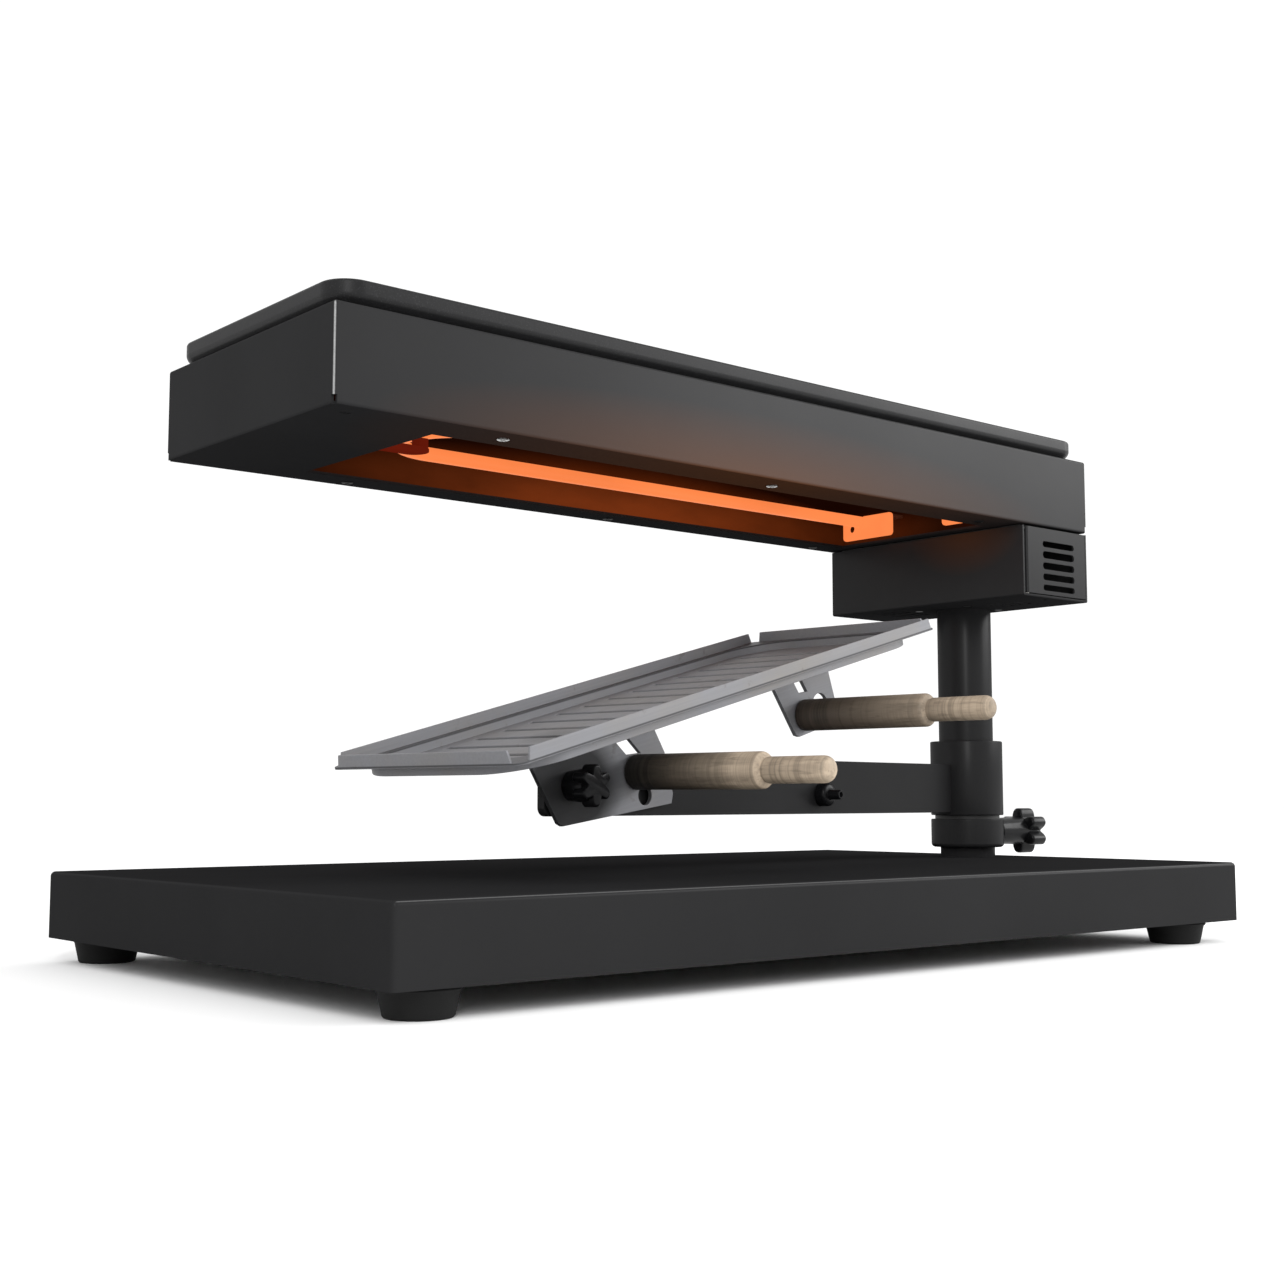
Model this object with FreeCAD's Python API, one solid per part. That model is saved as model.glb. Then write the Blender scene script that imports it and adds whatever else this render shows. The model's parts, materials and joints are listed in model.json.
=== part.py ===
import FreeCAD, Part
import math
import os

# Raclette grill: a flat base, a side column, a heated head with a griddle on top, and a tilting tray
# on an arm that swings round the column. Millimetres.
#
# Shapes are drawn from the base shell's front, left and lower edges: X runs along the base to the column
# end, Y to the back, Z up. save() then moves them so that the origin lies under the middle of the whole
# part, on the surface it stands on.

V = FreeCAD.Vector
X_AXIS = V(1, 0, 0)
Y_AXIS = V(0, 1, 0)
Z_AXIS = V(0, 0, 1)

# Base
BASE_LENGTH = 470.0
BASE_DEPTH = 267.0
BASE_HEIGHT = 27.3
BASE_SHEET = 1.5
BASE_EDGE_R = 2.0
FLOOR_SHEET = 1.2
BASE_FLANGE = 46.0
FOOT_HEIGHT = 10.0
FOOT_TOP_R = 14.0
FOOT_BOTTOM_R = 11.5
FOOT_INSET_LEFT = 19.5
FOOT_INSET_RIGHT = 30.0
FOOT_INSET_SIDE = 15.5

# Column
COLUMN_X = 435.6
COLUMN_Y = 133.6
COLUMN_R = 14.0
COLUMN_WALL = 2.0
WELD_GAP = 0.05
PLATE_THICK = 4.0

# Head and neck
HEAD_LEFT = 15.7
HEAD_RIGHT = 452.9
HEAD_FRONT = 67.5
HEAD_BACK = 198.6
HEAD_BOTTOM = 192.3
HEAD_TOP = 228.9
HEAD_SHEET = 1.2
FRONT_FLANGE = 20.5
BACK_FLANGE = 15.9
OPENING_LEFT = 69.4
OPENING_RIGHT = 395.5
NECK_LEFT = 400.3
NECK_BACK = 195.8
NECK_BOTTOM = 156.5
GASKET = 1.0
NECK_TOP = HEAD_BOTTOM - GASKET

# Heating element
ELEMENT_R = 3.0
ELEMENT_Z = 202.0
LEG_FRONT_Y = 106.5
LEG_BACK_Y = 159.0
BEND_X = 113.5
ELEMENT_RIGHT = OPENING_RIGHT + 9.0
END_PLATE_X = 382.0
FRONT_BRACKET_X = 391.0
ELEMENT_PLATE_SHEET = 1.5
CLIP_Y = 124.0
CLIP_START = 56.0
CLIP_END = 90.5
CLIP_WIDTH = 13.0
CLIP_SHEET = 1.2
LEAD_R = 1.2
LEAD_FRONT_X = 411.0
LEAD_BACK_X = 415.5
LEAD_TURN_Z = 180.0

# Griddle
GRIDDLE_INSET_LEFT = 3.0
GRIDDLE_INSET_FRONT = 4.0
GRIDDLE_LIP = 6.2
GRIDDLE_BEVEL = 3.4
GRIDDLE_GAP = 1.0
GRIDDLE_CORNER_R = 12.0
GRIDDLE_RIM = 6.0
GRIDDLE_FLOOR = 3.6
SPACER_R = 4.0

# Collar, sleeve and arm
COLLAR_BOTTOM = 32.4
COLLAR_TOP = 47.0
COLLAR_R = 18.7
WASHER_TOP = 48.9
THRUST_WASHER_R = 16.6
SLEEVE_R = 18.65
SLEEVE_TOP = 87.4
RUNNING_GAP = 0.05
ARM_SWING = 6.83
ARM_HALF_THICK = 2.0
ARM_BOTTOM = 50.4
ARM_TOP = 75.2
ARM_REACH = 310.3
ARM_TIP_R = 3.5

# Tray, measured along its own floor from the left end
TRAY_TILT = 14.39
TRAY_LEFT_S = 371.5
TRAY_LEFT_Z = 69.3
TRAY_LENGTH = 268.0
TRAY_WIDTH = 106.9
TRAY_SHEET = 1.0
TRAY_WALL = 5.7
TRAY_NOTCH = 4.5
TRAY_NOTCH_RIGHT = 1.8
TRAY_CORNER_R = 4.0
TRAY_CORNER_RIGHT_R = 1.5
WELL_DEPTH = 4.8
WELL_INSET = 4.0
WELL_CORNER_R = 24.0
SLOT_PITCH = 16.0
SLOT_WIDTH = 4.0
SLOT_FIRST = 16.5
SLOT_END_GAP = 12.0

# Brackets under the tray, in the arm's own plane
BRACKET_INNER = 3.5
BRACKET_THICK = 2.0
BRACKET_OUTER = BRACKET_INNER + BRACKET_THICK
FLANGE_WIDTH = 9.0
PIVOT_ALONG = 68.6
PIVOT_DEPTH = 24.7
PIVOT_R = 4.0
PIVOT_WASHER_R = 7.5
BOLT_END = 16.0
TILT_KNOB_DISC_START = 13.0
TILT_KNOB_DISC_END = 20.0
TILT_KNOB_DISC_R = 8.4
LEFT_HANDLE_POINT = (105.7, 28.2)
RIGHT_HANDLE_POINT = (223.1, 29.9)
HANDLE_STEP = 75.4
HANDLE_END = 105.75
HANDLE_SCREW_R = 2.0
HANDLE_SCREW_LENGTH = 22.0
HANDLE_THICK_R = 7.3
HANDLE_THIN_R = 5.25
STOP_ALONG = 236.9
STOP_DEPTH = 27.8
STOP_BUTTON_R = 5.45
STOP_BUTTON_END = 7.6
STOP_STEM_R = 2.3
STOP_STEM_END = 13.8

# The whole part's box reaches past the base at the collar knob and at the left handle's tip
KNOB_OVERHANG = 19.6
HANDLE_OVERHANG = 2.77
ORIGIN = V((BASE_LENGTH + KNOB_OVERHANG) / 2, (BASE_DEPTH - HANDLE_OVERHANG) / 2, -FOOT_HEIGHT)

ARM_FRAME = FreeCAD.Placement(V(COLUMN_X, COLUMN_Y, 0), FreeCAD.Rotation(Z_AXIS, 180 + ARM_SWING))
TRAY_FRAME = ARM_FRAME.multiply(
    FreeCAD.Placement(V(TRAY_LEFT_S, 0, TRAY_LEFT_Z), FreeCAD.Rotation(Y_AXIS, TRAY_TILT)))


# Shape helpers

def box(x0, x1, y0, y1, z0, z1):
    return Part.makeBox(x1 - x0, y1 - y0, z1 - z0, V(x0, y0, z0))


def rod(radius, start, axis, length):
    return Part.makeCylinder(radius, length, start, axis)


def join(shapes):
    return shapes[0].multiFuse(shapes[1:]).removeSplitter()


def prism(points, depth_axis, depth):
    """Solid from a closed outline of points, pushed along an axis."""
    wire = Part.makePolygon([V(*p) for p in points] + [V(*points[0])])
    return Part.Face(wire).extrude(depth_axis * depth)


def round_edges(solid, radius, wanted):
    return solid.makeFillet(radius, [e for e in solid.Edges if wanted(e)])


def is_upright(edge):
    return abs(edge.tangentAt(edge.FirstParameter).z) > 0.99


def at_height(z):
    return lambda edge: abs(edge.BoundBox.ZMin - z) < 1e-6 and abs(edge.BoundBox.ZMax - z) < 1e-6


def rounded_plate(x0, x1, y0, y1, z0, z1, radius):
    return round_edges(box(x0, x1, y0, y1, z0, z1), radius, is_upright)


def slot_y(x0, x1, z0, z1, y0, depth):
    """Rounded slot through a front or back panel, lying along X."""
    r = (z1 - z0) / 2
    middle = box(x0 + r, x1 - r, y0, y0 + depth, z0, z1)
    ends = [rod(r, V(x, y0, z0 + r), Y_AXIS, depth) for x in (x0 + r, x1 - r)]
    return join([middle] + ends)


def hexagon(across_flats, centre, height):
    r = across_flats / math.sqrt(3)
    turn = [math.radians(60 * i) for i in range(6)]
    corners = [(centre.x + r * math.cos(t), centre.y + r * math.sin(t), centre.z) for t in turn]
    return prism(corners, Z_AXIS, height)


def turned(profile, foot_point, axis):
    """Solid of revolution: profile lists (radius, distance) corners in the plane of X and Z."""
    outline = Part.makePolygon([V(r, 0, z) for r, z in profile] + [V(profile[0][0], 0, profile[0][1])])
    solid = Part.Face(outline).revolve(V(0, 0, 0), Z_AXIS, 360)
    solid.Placement = FreeCAD.Placement(foot_point, FreeCAD.Rotation(Z_AXIS, axis))
    return solid


def pan_screw(head_r, head_h, shank_r, shank_h, seat, out):
    """Screw whose head stands on the seat and points out, and whose shank goes the other way."""
    profile = [(0, -shank_h), (shank_r, -shank_h), (shank_r, 0), (head_r, 0), (head_r, head_h * 0.55),
               (head_r * 0.8, head_h * 0.9), (head_r * 0.45, head_h), (0, head_h)]
    return turned(profile, seat, out)


KNOB_LOBES = 6
KNOB_CORE_SHARE = 0.62
KNOB_BEVEL = 1.0


def star_knob(centre, axis, disc_r, lobe_r, depth):
    """Round core with separate lobes round it; it starts at the centre point and rises along the axis."""
    reach = disc_r - lobe_r
    shapes = [rod(KNOB_CORE_SHARE * disc_r, V(0, 0, 0), Z_AXIS, depth)]
    for i in range(KNOB_LOBES):
        t = 2 * math.pi * i / KNOB_LOBES
        shapes.append(rod(lobe_r, V(reach * math.cos(t), reach * math.sin(t), 0), Z_AXIS, depth))
    bevel = KNOB_BEVEL
    profile = [(0, 0), (disc_r - bevel, 0), (disc_r, bevel), (disc_r, depth - bevel), (disc_r - bevel, depth),
               (0, depth)]
    disc = turned(profile, V(0, 0, 0), Z_AXIS)
    knob = join(shapes).common(disc)
    knob.Placement = FreeCAD.Placement(centre, FreeCAD.Rotation(Z_AXIS, axis))
    return knob


def save(node, shape):
    shape.translate(-ORIGIN)
    shape.exportStep("parts/" + node + ".step")


def save_on(frame, node, shape):
    """Saves a shape drawn in the arm's or the tray's own frame."""
    shape.Placement = frame.multiply(shape.Placement)
    save(node, shape)


# Base

FOOT_CENTRES = {
    "front_left": (FOOT_INSET_LEFT, FOOT_INSET_SIDE),
    "front_right": (BASE_LENGTH - FOOT_INSET_RIGHT, FOOT_INSET_SIDE),
    "back_left": (FOOT_INSET_LEFT, BASE_DEPTH - FOOT_INSET_SIDE),
    "back_right": (BASE_LENGTH - FOOT_INSET_RIGHT, BASE_DEPTH - FOOT_INSET_SIDE),
}
STUD_CENTRES = [(COLUMN_X + sx * 23.0, COLUMN_Y + sy * 36.0) for sx in (-1, 1) for sy in (-1, 1)]
MOUNT_PLATE_HALF_X = 31.0
MOUNT_PLATE_HALF_Y = 44.0
UNDER_TOP = BASE_HEIGHT - BASE_SHEET
FOOT_HOLE_R = 2.6


def base_shell():
    body = box(0, BASE_LENGTH, 0, BASE_DEPTH, 0, BASE_HEIGHT)
    body = round_edges(body, BASE_EDGE_R, lambda e: is_upright(e) or at_height(BASE_HEIGHT)(e))
    t = BASE_SHEET
    body = body.cut(box(t, BASE_LENGTH - t, t, BASE_DEPTH - t, -1, UNDER_TOP))
    flange_z = FLOOR_SHEET
    flanges = [
        box(t, BASE_FLANGE, t, BASE_DEPTH - t, flange_z, flange_z + t),
        box(BASE_LENGTH - BASE_FLANGE, BASE_LENGTH - t, t, BASE_DEPTH - t, flange_z, flange_z + t),
    ]
    studs = [rod(3.0, V(x, y, UNDER_TOP - 11), Z_AXIS, 11.5) for x, y in STUD_CENTRES]
    body = join([body] + flanges + studs)
    holes = [rod(FOOT_HOLE_R, V(x, y, 0), Z_AXIS, 5) for x, y in FOOT_CENTRES.values()]
    holes.append(rod(COLUMN_R + WELD_GAP, V(COLUMN_X, COLUMN_Y, UNDER_TOP - 1), Z_AXIS, 5))
    return body.cut(holes)


def base_bottom_plate():
    gap = BASE_SHEET + 0.4
    plate = box(gap, BASE_LENGTH - gap, gap, BASE_DEPTH - gap, 0, FLOOR_SHEET)
    return plate.cut([rod(FOOT_HOLE_R, V(x, y, -1), Z_AXIS, 5) for x, y in FOOT_CENTRES.values()])


def foot(x, y):
    cone = Part.makeCone(FOOT_BOTTOM_R, FOOT_TOP_R, FOOT_HEIGHT, V(x, y, -FOOT_HEIGHT), Z_AXIS)
    recess = rod(5.5, V(x, y, -FOOT_HEIGHT), Z_AXIS, 6.0)
    return cone.cut([recess, rod(FOOT_HOLE_R, V(x, y, -FOOT_HEIGHT), Z_AXIS, FOOT_HEIGHT)])


def foot_screws():
    flange_top = FLOOR_SHEET + BASE_SHEET
    shapes = []
    for x, y in FOOT_CENTRES.values():
        seat = V(x, y, 6.0 - FOOT_HEIGHT)
        shapes.append(pan_screw(4.6, 2.6, 2.5, 12.5, seat, V(0, 0, -1)))
        nut = hexagon(8.0, V(x, y, flange_top), 4.0)
        shapes.append(nut.cut(rod(2.5 + WELD_GAP, V(x, y, flange_top), Z_AXIS, 4.0)))
    return Part.makeCompound(shapes)


# Column

def column_mount_plate():
    top = UNDER_TOP
    plate = rounded_plate(COLUMN_X - MOUNT_PLATE_HALF_X, COLUMN_X + MOUNT_PLATE_HALF_X,
                          COLUMN_Y - MOUNT_PLATE_HALF_Y, COLUMN_Y + MOUNT_PLATE_HALF_Y,
                          top - PLATE_THICK, top, 6.0)
    holes = [rod(3.2, V(x, y, top - 6), Z_AXIS, 8) for x, y in STUD_CENTRES]
    holes.append(rod(COLUMN_R + WELD_GAP, V(COLUMN_X, COLUMN_Y, top - 6), Z_AXIS, 8))
    return plate.cut(holes)


def column_nuts():
    seat = UNDER_TOP - PLATE_THICK - 5.0
    shapes = []
    for x, y in STUD_CENTRES:
        nut = hexagon(10.0, V(x, y, seat), 5.0)
        shapes.append(nut.cut(rod(3.0 + WELD_GAP, V(x, y, seat), Z_AXIS, 5.0)))
    return Part.makeCompound(shapes)


def column_tube():
    low = UNDER_TOP - PLATE_THICK - 4.0
    high = NECK_BOTTOM + HEAD_SHEET + PLATE_THICK + 6.0
    foot_point = V(COLUMN_X, COLUMN_Y, low)
    return rod(COLUMN_R, foot_point, Z_AXIS, high - low).cut(
        rod(COLUMN_R - COLUMN_WALL, foot_point, Z_AXIS, high - low))


# Neck

NECK_FLOOR_TOP = NECK_BOTTOM + HEAD_SHEET
NECK_PLATE_HALF_Y = 20.0
NECK_SCREW_R = 2.0
NECK_SCREW_CENTRES = [(COLUMN_X + dx, COLUMN_Y + dy) for dx in (-17.0, 9.0) for dy in (-16.0, 16.0)]
NECK_SCREW_LENGTH = PLATE_THICK + HEAD_SHEET
NECK_FLANGE = 9.0
# Lower and upper edge of each slot in the front panel
NECK_VENTS = [(160.0, 163.0), (165.2, 168.5), (170.6, 174.1), (176.1, 179.7), (181.7, 184.7)]
NECK_VENT_LEFT = 415.5
NECK_VENT_RIGHT = 441.4
# Groups of slots in the underside: left end, right end, front edge of the first slot, how many
FLOOR_VENTS = [
    (408.0, 419.0, 154.5, 4),
    (422.0, 433.0, 154.5, 4),
    (420.0, 433.0, 87.5, 4),
    (422.5, 427.0, 73.2, 1),
]
FLOOR_VENT_PITCH = 5.5
FLOOR_VENT_WIDTH = 2.4
BACK_SCREWS = [(x, z) for x in (406.0, 445.0) for z in (161.5, 186.5)]
BACK_SCREW_R = 1.5
SWITCH_Y = 105.0
SWITCH_Z = 173.5
SWITCH_HALF_Y = 11.0
SWITCH_HALF_Z = 7.5
SWITCH_DEPTH = 16.0
ROCKER_HEIGHT = 10.6
ROCKER_PIN_DEPTH = 1.0
ROCKER_TILT = 8.0
GLAND_X = 427.0
GLAND_Z = 174.0
GLAND_R = 6.0
GLAND_CAP_R = 7.5
GLAND_BORE_R = 3.6


def neck_housing():
    t = HEAD_SHEET
    y0 = HEAD_FRONT + 0.6
    y1 = NECK_BACK - 0.6
    walls = [
        box(NECK_LEFT, HEAD_RIGHT, y0, y1, NECK_BOTTOM, NECK_FLOOR_TOP),
        box(NECK_LEFT, NECK_LEFT + t, y0, y1, NECK_BOTTOM, NECK_TOP),
        box(HEAD_RIGHT - t, HEAD_RIGHT, y0, y1, NECK_BOTTOM, NECK_TOP),
        box(NECK_LEFT, NECK_LEFT + NECK_FLANGE, y0 + 3, y1 - 3, NECK_TOP - t, NECK_TOP),
        box(HEAD_RIGHT - NECK_FLANGE, HEAD_RIGHT, y0 + 3, y1 - 3, NECK_TOP - t, NECK_TOP),
    ]
    body = join(walls)
    lower_corners = [e for e in body.Edges if at_height(NECK_BOTTOM)(e) and e.Length > 100]
    body = body.makeFillet(1.0, lower_corners)
    holes = [rod(COLUMN_R + WELD_GAP, V(COLUMN_X, COLUMN_Y, NECK_BOTTOM - 1), Z_AXIS, 5)]
    holes += [rod(NECK_SCREW_R + 0.1, V(x, y, NECK_BOTTOM - 1), Z_AXIS, 5) for x, y in NECK_SCREW_CENTRES]
    holes.append(box(HEAD_RIGHT - 3, HEAD_RIGHT + 1, SWITCH_Y - SWITCH_HALF_Y, SWITCH_Y + SWITCH_HALF_Y,
                     SWITCH_Z - SWITCH_HALF_Z, SWITCH_Z + SWITCH_HALF_Z))
    for x0, x1, first_y, count in FLOOR_VENTS:
        for i in range(count):
            y = first_y + FLOOR_VENT_PITCH * i
            holes.append(box(x0, x1, y, y + FLOOR_VENT_WIDTH, NECK_BOTTOM - 1, NECK_FLOOR_TOP + 1))
    return body.cut(holes)


def neck_front_panel():
    t = HEAD_SHEET
    x0 = NECK_LEFT + 2.5
    x1 = HEAD_RIGHT - t - 0.4
    y0 = HEAD_FRONT
    z0 = NECK_FLOOR_TOP + 0.4
    z1 = NECK_TOP - 0.3
    shapes = [
        box(x0, x1, y0, y0 + t, z0, z1),
        box(x0, x0 + t, y0, y0 + 9, z0, z1 - 3),
        box(x1 - t, x1, y0, y0 + 9, z0, z1 - 3),
    ]
    panel = join(shapes)
    front_corners = [e for e in panel.Edges
                     if is_upright(e) and abs(e.BoundBox.YMin - y0) < 1e-6 and e.Length > 20]
    panel = panel.makeFillet(1.0, front_corners)
    vents = [slot_y(NECK_VENT_LEFT, NECK_VENT_RIGHT, low, high, y0 - 1, 4) for low, high in NECK_VENTS]
    return panel.cut(vents)


def neck_back_panel():
    t = HEAD_SHEET
    z0 = NECK_FLOOR_TOP + 0.4
    panel = box(NECK_LEFT + 2.0, HEAD_RIGHT - 2.0, NECK_BACK - t, NECK_BACK, z0, NECK_TOP - 0.3)
    holes = [rod(GLAND_R + 0.1, V(GLAND_X, NECK_BACK - 3, GLAND_Z), Y_AXIS, 5)]
    holes += [rod(BACK_SCREW_R + 0.2, V(x, NECK_BACK - 3, z), Y_AXIS, 5) for x, z in BACK_SCREWS]
    return panel.cut(holes)


def back_panel_screws():
    screws = [pan_screw(3.0, 1.8, BACK_SCREW_R, 7.0, V(x, NECK_BACK, z), Y_AXIS) for x, z in BACK_SCREWS]
    return Part.makeCompound(screws)


def neck_mount_plate():
    z0 = NECK_FLOOR_TOP
    y0 = COLUMN_Y - NECK_PLATE_HALF_Y
    y1 = COLUMN_Y + NECK_PLATE_HALF_Y
    plate = rounded_plate(NECK_LEFT + 10, HEAD_RIGHT - 2, y0, y1, z0, z0 + PLATE_THICK, 3.0)
    holes = [rod(NECK_SCREW_R + 0.1, V(x, y, z0 - 1), Z_AXIS, 8) for x, y in NECK_SCREW_CENTRES]
    holes.append(rod(COLUMN_R + WELD_GAP, V(COLUMN_X, COLUMN_Y, z0 - 1), Z_AXIS, 8))
    return plate.cut(holes)


def neck_screws():
    seat_z = NECK_FLOOR_TOP + PLATE_THICK
    screws = []
    for x, y in NECK_SCREW_CENTRES:
        screws.append(pan_screw(3.6, 2.2, NECK_SCREW_R, NECK_SCREW_LENGTH, V(x, y, seat_z), Z_AXIS))
    return Part.makeCompound(screws)


def neck_gasket():
    z0 = NECK_TOP
    ring = box(NECK_LEFT + 3, HEAD_RIGHT - 3, HEAD_FRONT + 5, NECK_BACK - 5, z0, z0 + GASKET)
    x0 = NECK_LEFT + NECK_FLANGE
    x1 = HEAD_RIGHT - NECK_FLANGE
    return ring.cut(box(x0, x1, HEAD_FRONT + 14, NECK_BACK - 14, z0 - 1, z0 + 3))


def switch_block(x0, x1, margin):
    """Block on the switch's centre, larger than its opening by the margin on each side."""
    half_y = SWITCH_HALF_Y + margin
    half_z = SWITCH_HALF_Z + margin
    return box(x0, x1, SWITCH_Y - half_y, SWITCH_Y + half_y, SWITCH_Z - half_z, SWITCH_Z + half_z)


def switch_frame():
    rim = switch_block(HEAD_RIGHT, HEAD_RIGHT + 1.6, 2.5)
    rim = round_edges(rim, 1.2, lambda e: abs(e.tangentAt(e.FirstParameter).x) > 0.99)
    body = switch_block(HEAD_RIGHT - SWITCH_DEPTH, HEAD_RIGHT + 0.5, -0.2)
    pocket = switch_block(HEAD_RIGHT - 9, HEAD_RIGHT + 3, -1.8)
    return join([rim, body]).cut(pocket)


def switch_rocker():
    """Rocker with two faces that meet in a shallow V, tipped to one side about an upright line."""
    x = HEAD_RIGHT
    outline = [(x + 1.2, SWITCH_Y - 8.6, 0), (x + 3.4, SWITCH_Y - 8.2, 0), (x + 1.9, SWITCH_Y, 0),
               (x + 3.4, SWITCH_Y + 8.2, 0), (x + 1.2, SWITCH_Y + 8.6, 0), (x - 2.0, SWITCH_Y + 5.0, 0),
               (x - 3.5, SWITCH_Y, 0), (x - 2.0, SWITCH_Y - 5.0, 0)]
    rocker = prism(outline, Z_AXIS, ROCKER_HEIGHT)
    rocker.translate(V(0, 0, SWITCH_Z - ROCKER_HEIGHT / 2))
    rocker.rotate(V(x - ROCKER_PIN_DEPTH, SWITCH_Y, 0), Z_AXIS, ROCKER_TILT)
    return rocker


def cable_gland():
    """Hex nut outside the back panel, a threaded barrel through it and a clamp cap; no cord is fitted."""
    cap = rod(GLAND_CAP_R, V(0, 0, 0), Z_AXIS, 4.0)
    dome = Part.makeCone(GLAND_CAP_R, 5.0, 7.0, V(0, 0, 4.0), Z_AXIS)
    barrel = rod(GLAND_R, V(0, 0, -9.0), Z_AXIS, 9.5)
    nut = hexagon(2 * GLAND_CAP_R, V(0, 0, -HEAD_SHEET - 4.0), 4.0)
    gland = join([cap, dome, barrel, nut]).cut(rod(GLAND_BORE_R, V(0, 0, -12), Z_AXIS, 30))
    gland.Placement = FreeCAD.Placement(V(GLAND_X, NECK_BACK, GLAND_Z), FreeCAD.Rotation(Z_AXIS, Y_AXIS))
    return gland


TERMINAL_TOP = NECK_FLOOR_TOP + 14.0
TERMINAL_WAYS = (82.5, 89.5, 96.5)
TERMINAL_LEFT = 403.5
TERMINAL_RIGHT = 418.0


def terminal_block():
    """Three-way block; each way has a wire hole through it and a screw pocket in its top."""
    z0 = NECK_FLOOR_TOP
    y0 = TERMINAL_WAYS[0] - 4.5
    y1 = TERMINAL_WAYS[2] + 4.5
    body = box(TERMINAL_LEFT, TERMINAL_RIGHT, y0, y1, z0, TERMINAL_TOP)
    ways = [rod(1.8, V(TERMINAL_LEFT - 0.5, y, z0 + 5.0), X_AXIS, 16.0) for y in TERMINAL_WAYS]
    pockets = [rod(1.5, V(TERMINAL_LEFT + 3.0, y, z0 + 8.0), Z_AXIS, 8.0) for y in TERMINAL_WAYS]
    return body.cut(ways + pockets)


# Head

HEAD_INSIDE_BOTTOM = HEAD_BOTTOM + HEAD_SHEET
OPENING_FRONT = HEAD_FRONT + FRONT_FLANGE
OPENING_BACK = HEAD_BACK - BACK_FLANGE
HEAD_TOP_FLANGE = 16.0
CORNER_RELIEF = 1.6
CORNER_RELIEF_HEIGHT = 3.2
HEAD_SCREW_R = 1.5
HEAD_SCREW_CENTRES = [(94.3, 77.4), (238.4, 79.0), (381.0, 79.5)] + [(x, 191.2) for x in (94.3, 238.4, 381.0)]
REFLECTOR_SHEET = 0.8
REFLECTOR_TOP = 221.5
REFLECTOR_LIP = 12.0


def head_shell():
    t = HEAD_SHEET
    under = HEAD_BOTTOM - 1
    over = HEAD_INSIDE_BOTTOM + 1
    body = box(HEAD_LEFT, HEAD_RIGHT, HEAD_FRONT, HEAD_BACK, HEAD_BOTTOM, HEAD_TOP)
    body = round_edges(body, 1.2, lambda e: is_upright(e) or at_height(HEAD_TOP)(e))
    f = HEAD_TOP_FLANGE
    body = body.cut([
        box(HEAD_LEFT + t, HEAD_RIGHT - t, HEAD_FRONT + t, HEAD_BACK - t, HEAD_INSIDE_BOTTOM, HEAD_TOP - t),
        box(OPENING_LEFT, OPENING_RIGHT, OPENING_FRONT, OPENING_BACK, under, over),
        box(HEAD_LEFT + f, HEAD_RIGHT - f, HEAD_FRONT + f, HEAD_BACK - f, HEAD_TOP - t - 1, HEAD_TOP + 1),
    ])
    # Way for the leads between head and neck, and the slot near the front left corner
    holes = [
        box(LEAD_FRONT_X - 2, COLUMN_X + 4, LEG_FRONT_Y - 6, LEG_BACK_Y + 11, under, over),
        box(HEAD_LEFT + 9.1, HEAD_LEFT + 13.2, HEAD_FRONT + 9.8, HEAD_FRONT + 11.8, under, over),
    ]
    holes += [rod(HEAD_SCREW_R + 0.2, V(x, y, under), Z_AXIS, 4) for x, y in HEAD_SCREW_CENTRES]
    # Relief notches where the sheet folds at the lower corners
    r = CORNER_RELIEF
    for x in (HEAD_LEFT, HEAD_RIGHT - r):
        for y in (HEAD_FRONT, HEAD_BACK - r):
            holes.append(box(x, x + r, y, y + r, under, HEAD_BOTTOM + CORNER_RELIEF_HEIGHT))
    return body.cut(holes)


def head_screws():
    screws = []
    for x, y in HEAD_SCREW_CENTRES:
        screws.append(pan_screw(2.4, 0.6, HEAD_SCREW_R, 5.0, V(x, y, HEAD_BOTTOM), V(0, 0, -1)))
    return Part.makeCompound(screws)


def reflector():
    t = REFLECTOR_SHEET
    z0 = HEAD_INSIDE_BOTTOM
    x0 = OPENING_LEFT - t
    x1 = OPENING_RIGHT + t
    outer = box(x0, x1, OPENING_FRONT - t, OPENING_BACK + t, z0, REFLECTOR_TOP)
    inner = box(OPENING_LEFT, OPENING_RIGHT, OPENING_FRONT, OPENING_BACK, z0 - 1, REFLECTOR_TOP - t)
    outer = outer.cut(inner)
    lips = [
        box(x0, x1, OPENING_FRONT - REFLECTOR_LIP, OPENING_FRONT - t, z0, z0 + t),
        box(x0, x1, OPENING_BACK + t, OPENING_BACK + REFLECTOR_LIP, z0, z0 + t),
    ]
    body = join([outer] + lips)
    legs = (LEG_FRONT_Y, LEG_BACK_Y)
    holes = [rod(ELEMENT_R + 0.4, V(OPENING_RIGHT - 3, y, ELEMENT_Z), X_AXIS, 8) for y in legs]
    holes += [rod(HEAD_SCREW_R + 0.2, V(x, y, z0 - 1), Z_AXIS, 4) for x, y in HEAD_SCREW_CENTRES]
    clip_gap = CLIP_WIDTH / 2 + 0.5
    holes.append(box(x0 - 1, x0 + 2, CLIP_Y - clip_gap, CLIP_Y + clip_gap, z0 - 1, z0 + CLIP_SHEET + 0.5))
    return body.cut(holes)


def heating_element():
    """Tube in a U: two legs along X and a half-round bend at the left end."""
    bend_r = (LEG_BACK_Y - LEG_FRONT_Y) / 2
    middle_y = (LEG_BACK_Y + LEG_FRONT_Y) / 2
    length = ELEMENT_RIGHT - BEND_X
    shapes = [rod(ELEMENT_R, V(BEND_X, y, ELEMENT_Z), X_AXIS, length) for y in (LEG_FRONT_Y, LEG_BACK_Y)]
    circle = Part.Wire(Part.makeCircle(ELEMENT_R, V(BEND_X, LEG_BACK_Y, ELEMENT_Z), X_AXIS))
    shapes.append(Part.Face(circle).revolve(V(BEND_X, middle_y, ELEMENT_Z), Z_AXIS, 180))
    return join(shapes)


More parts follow.
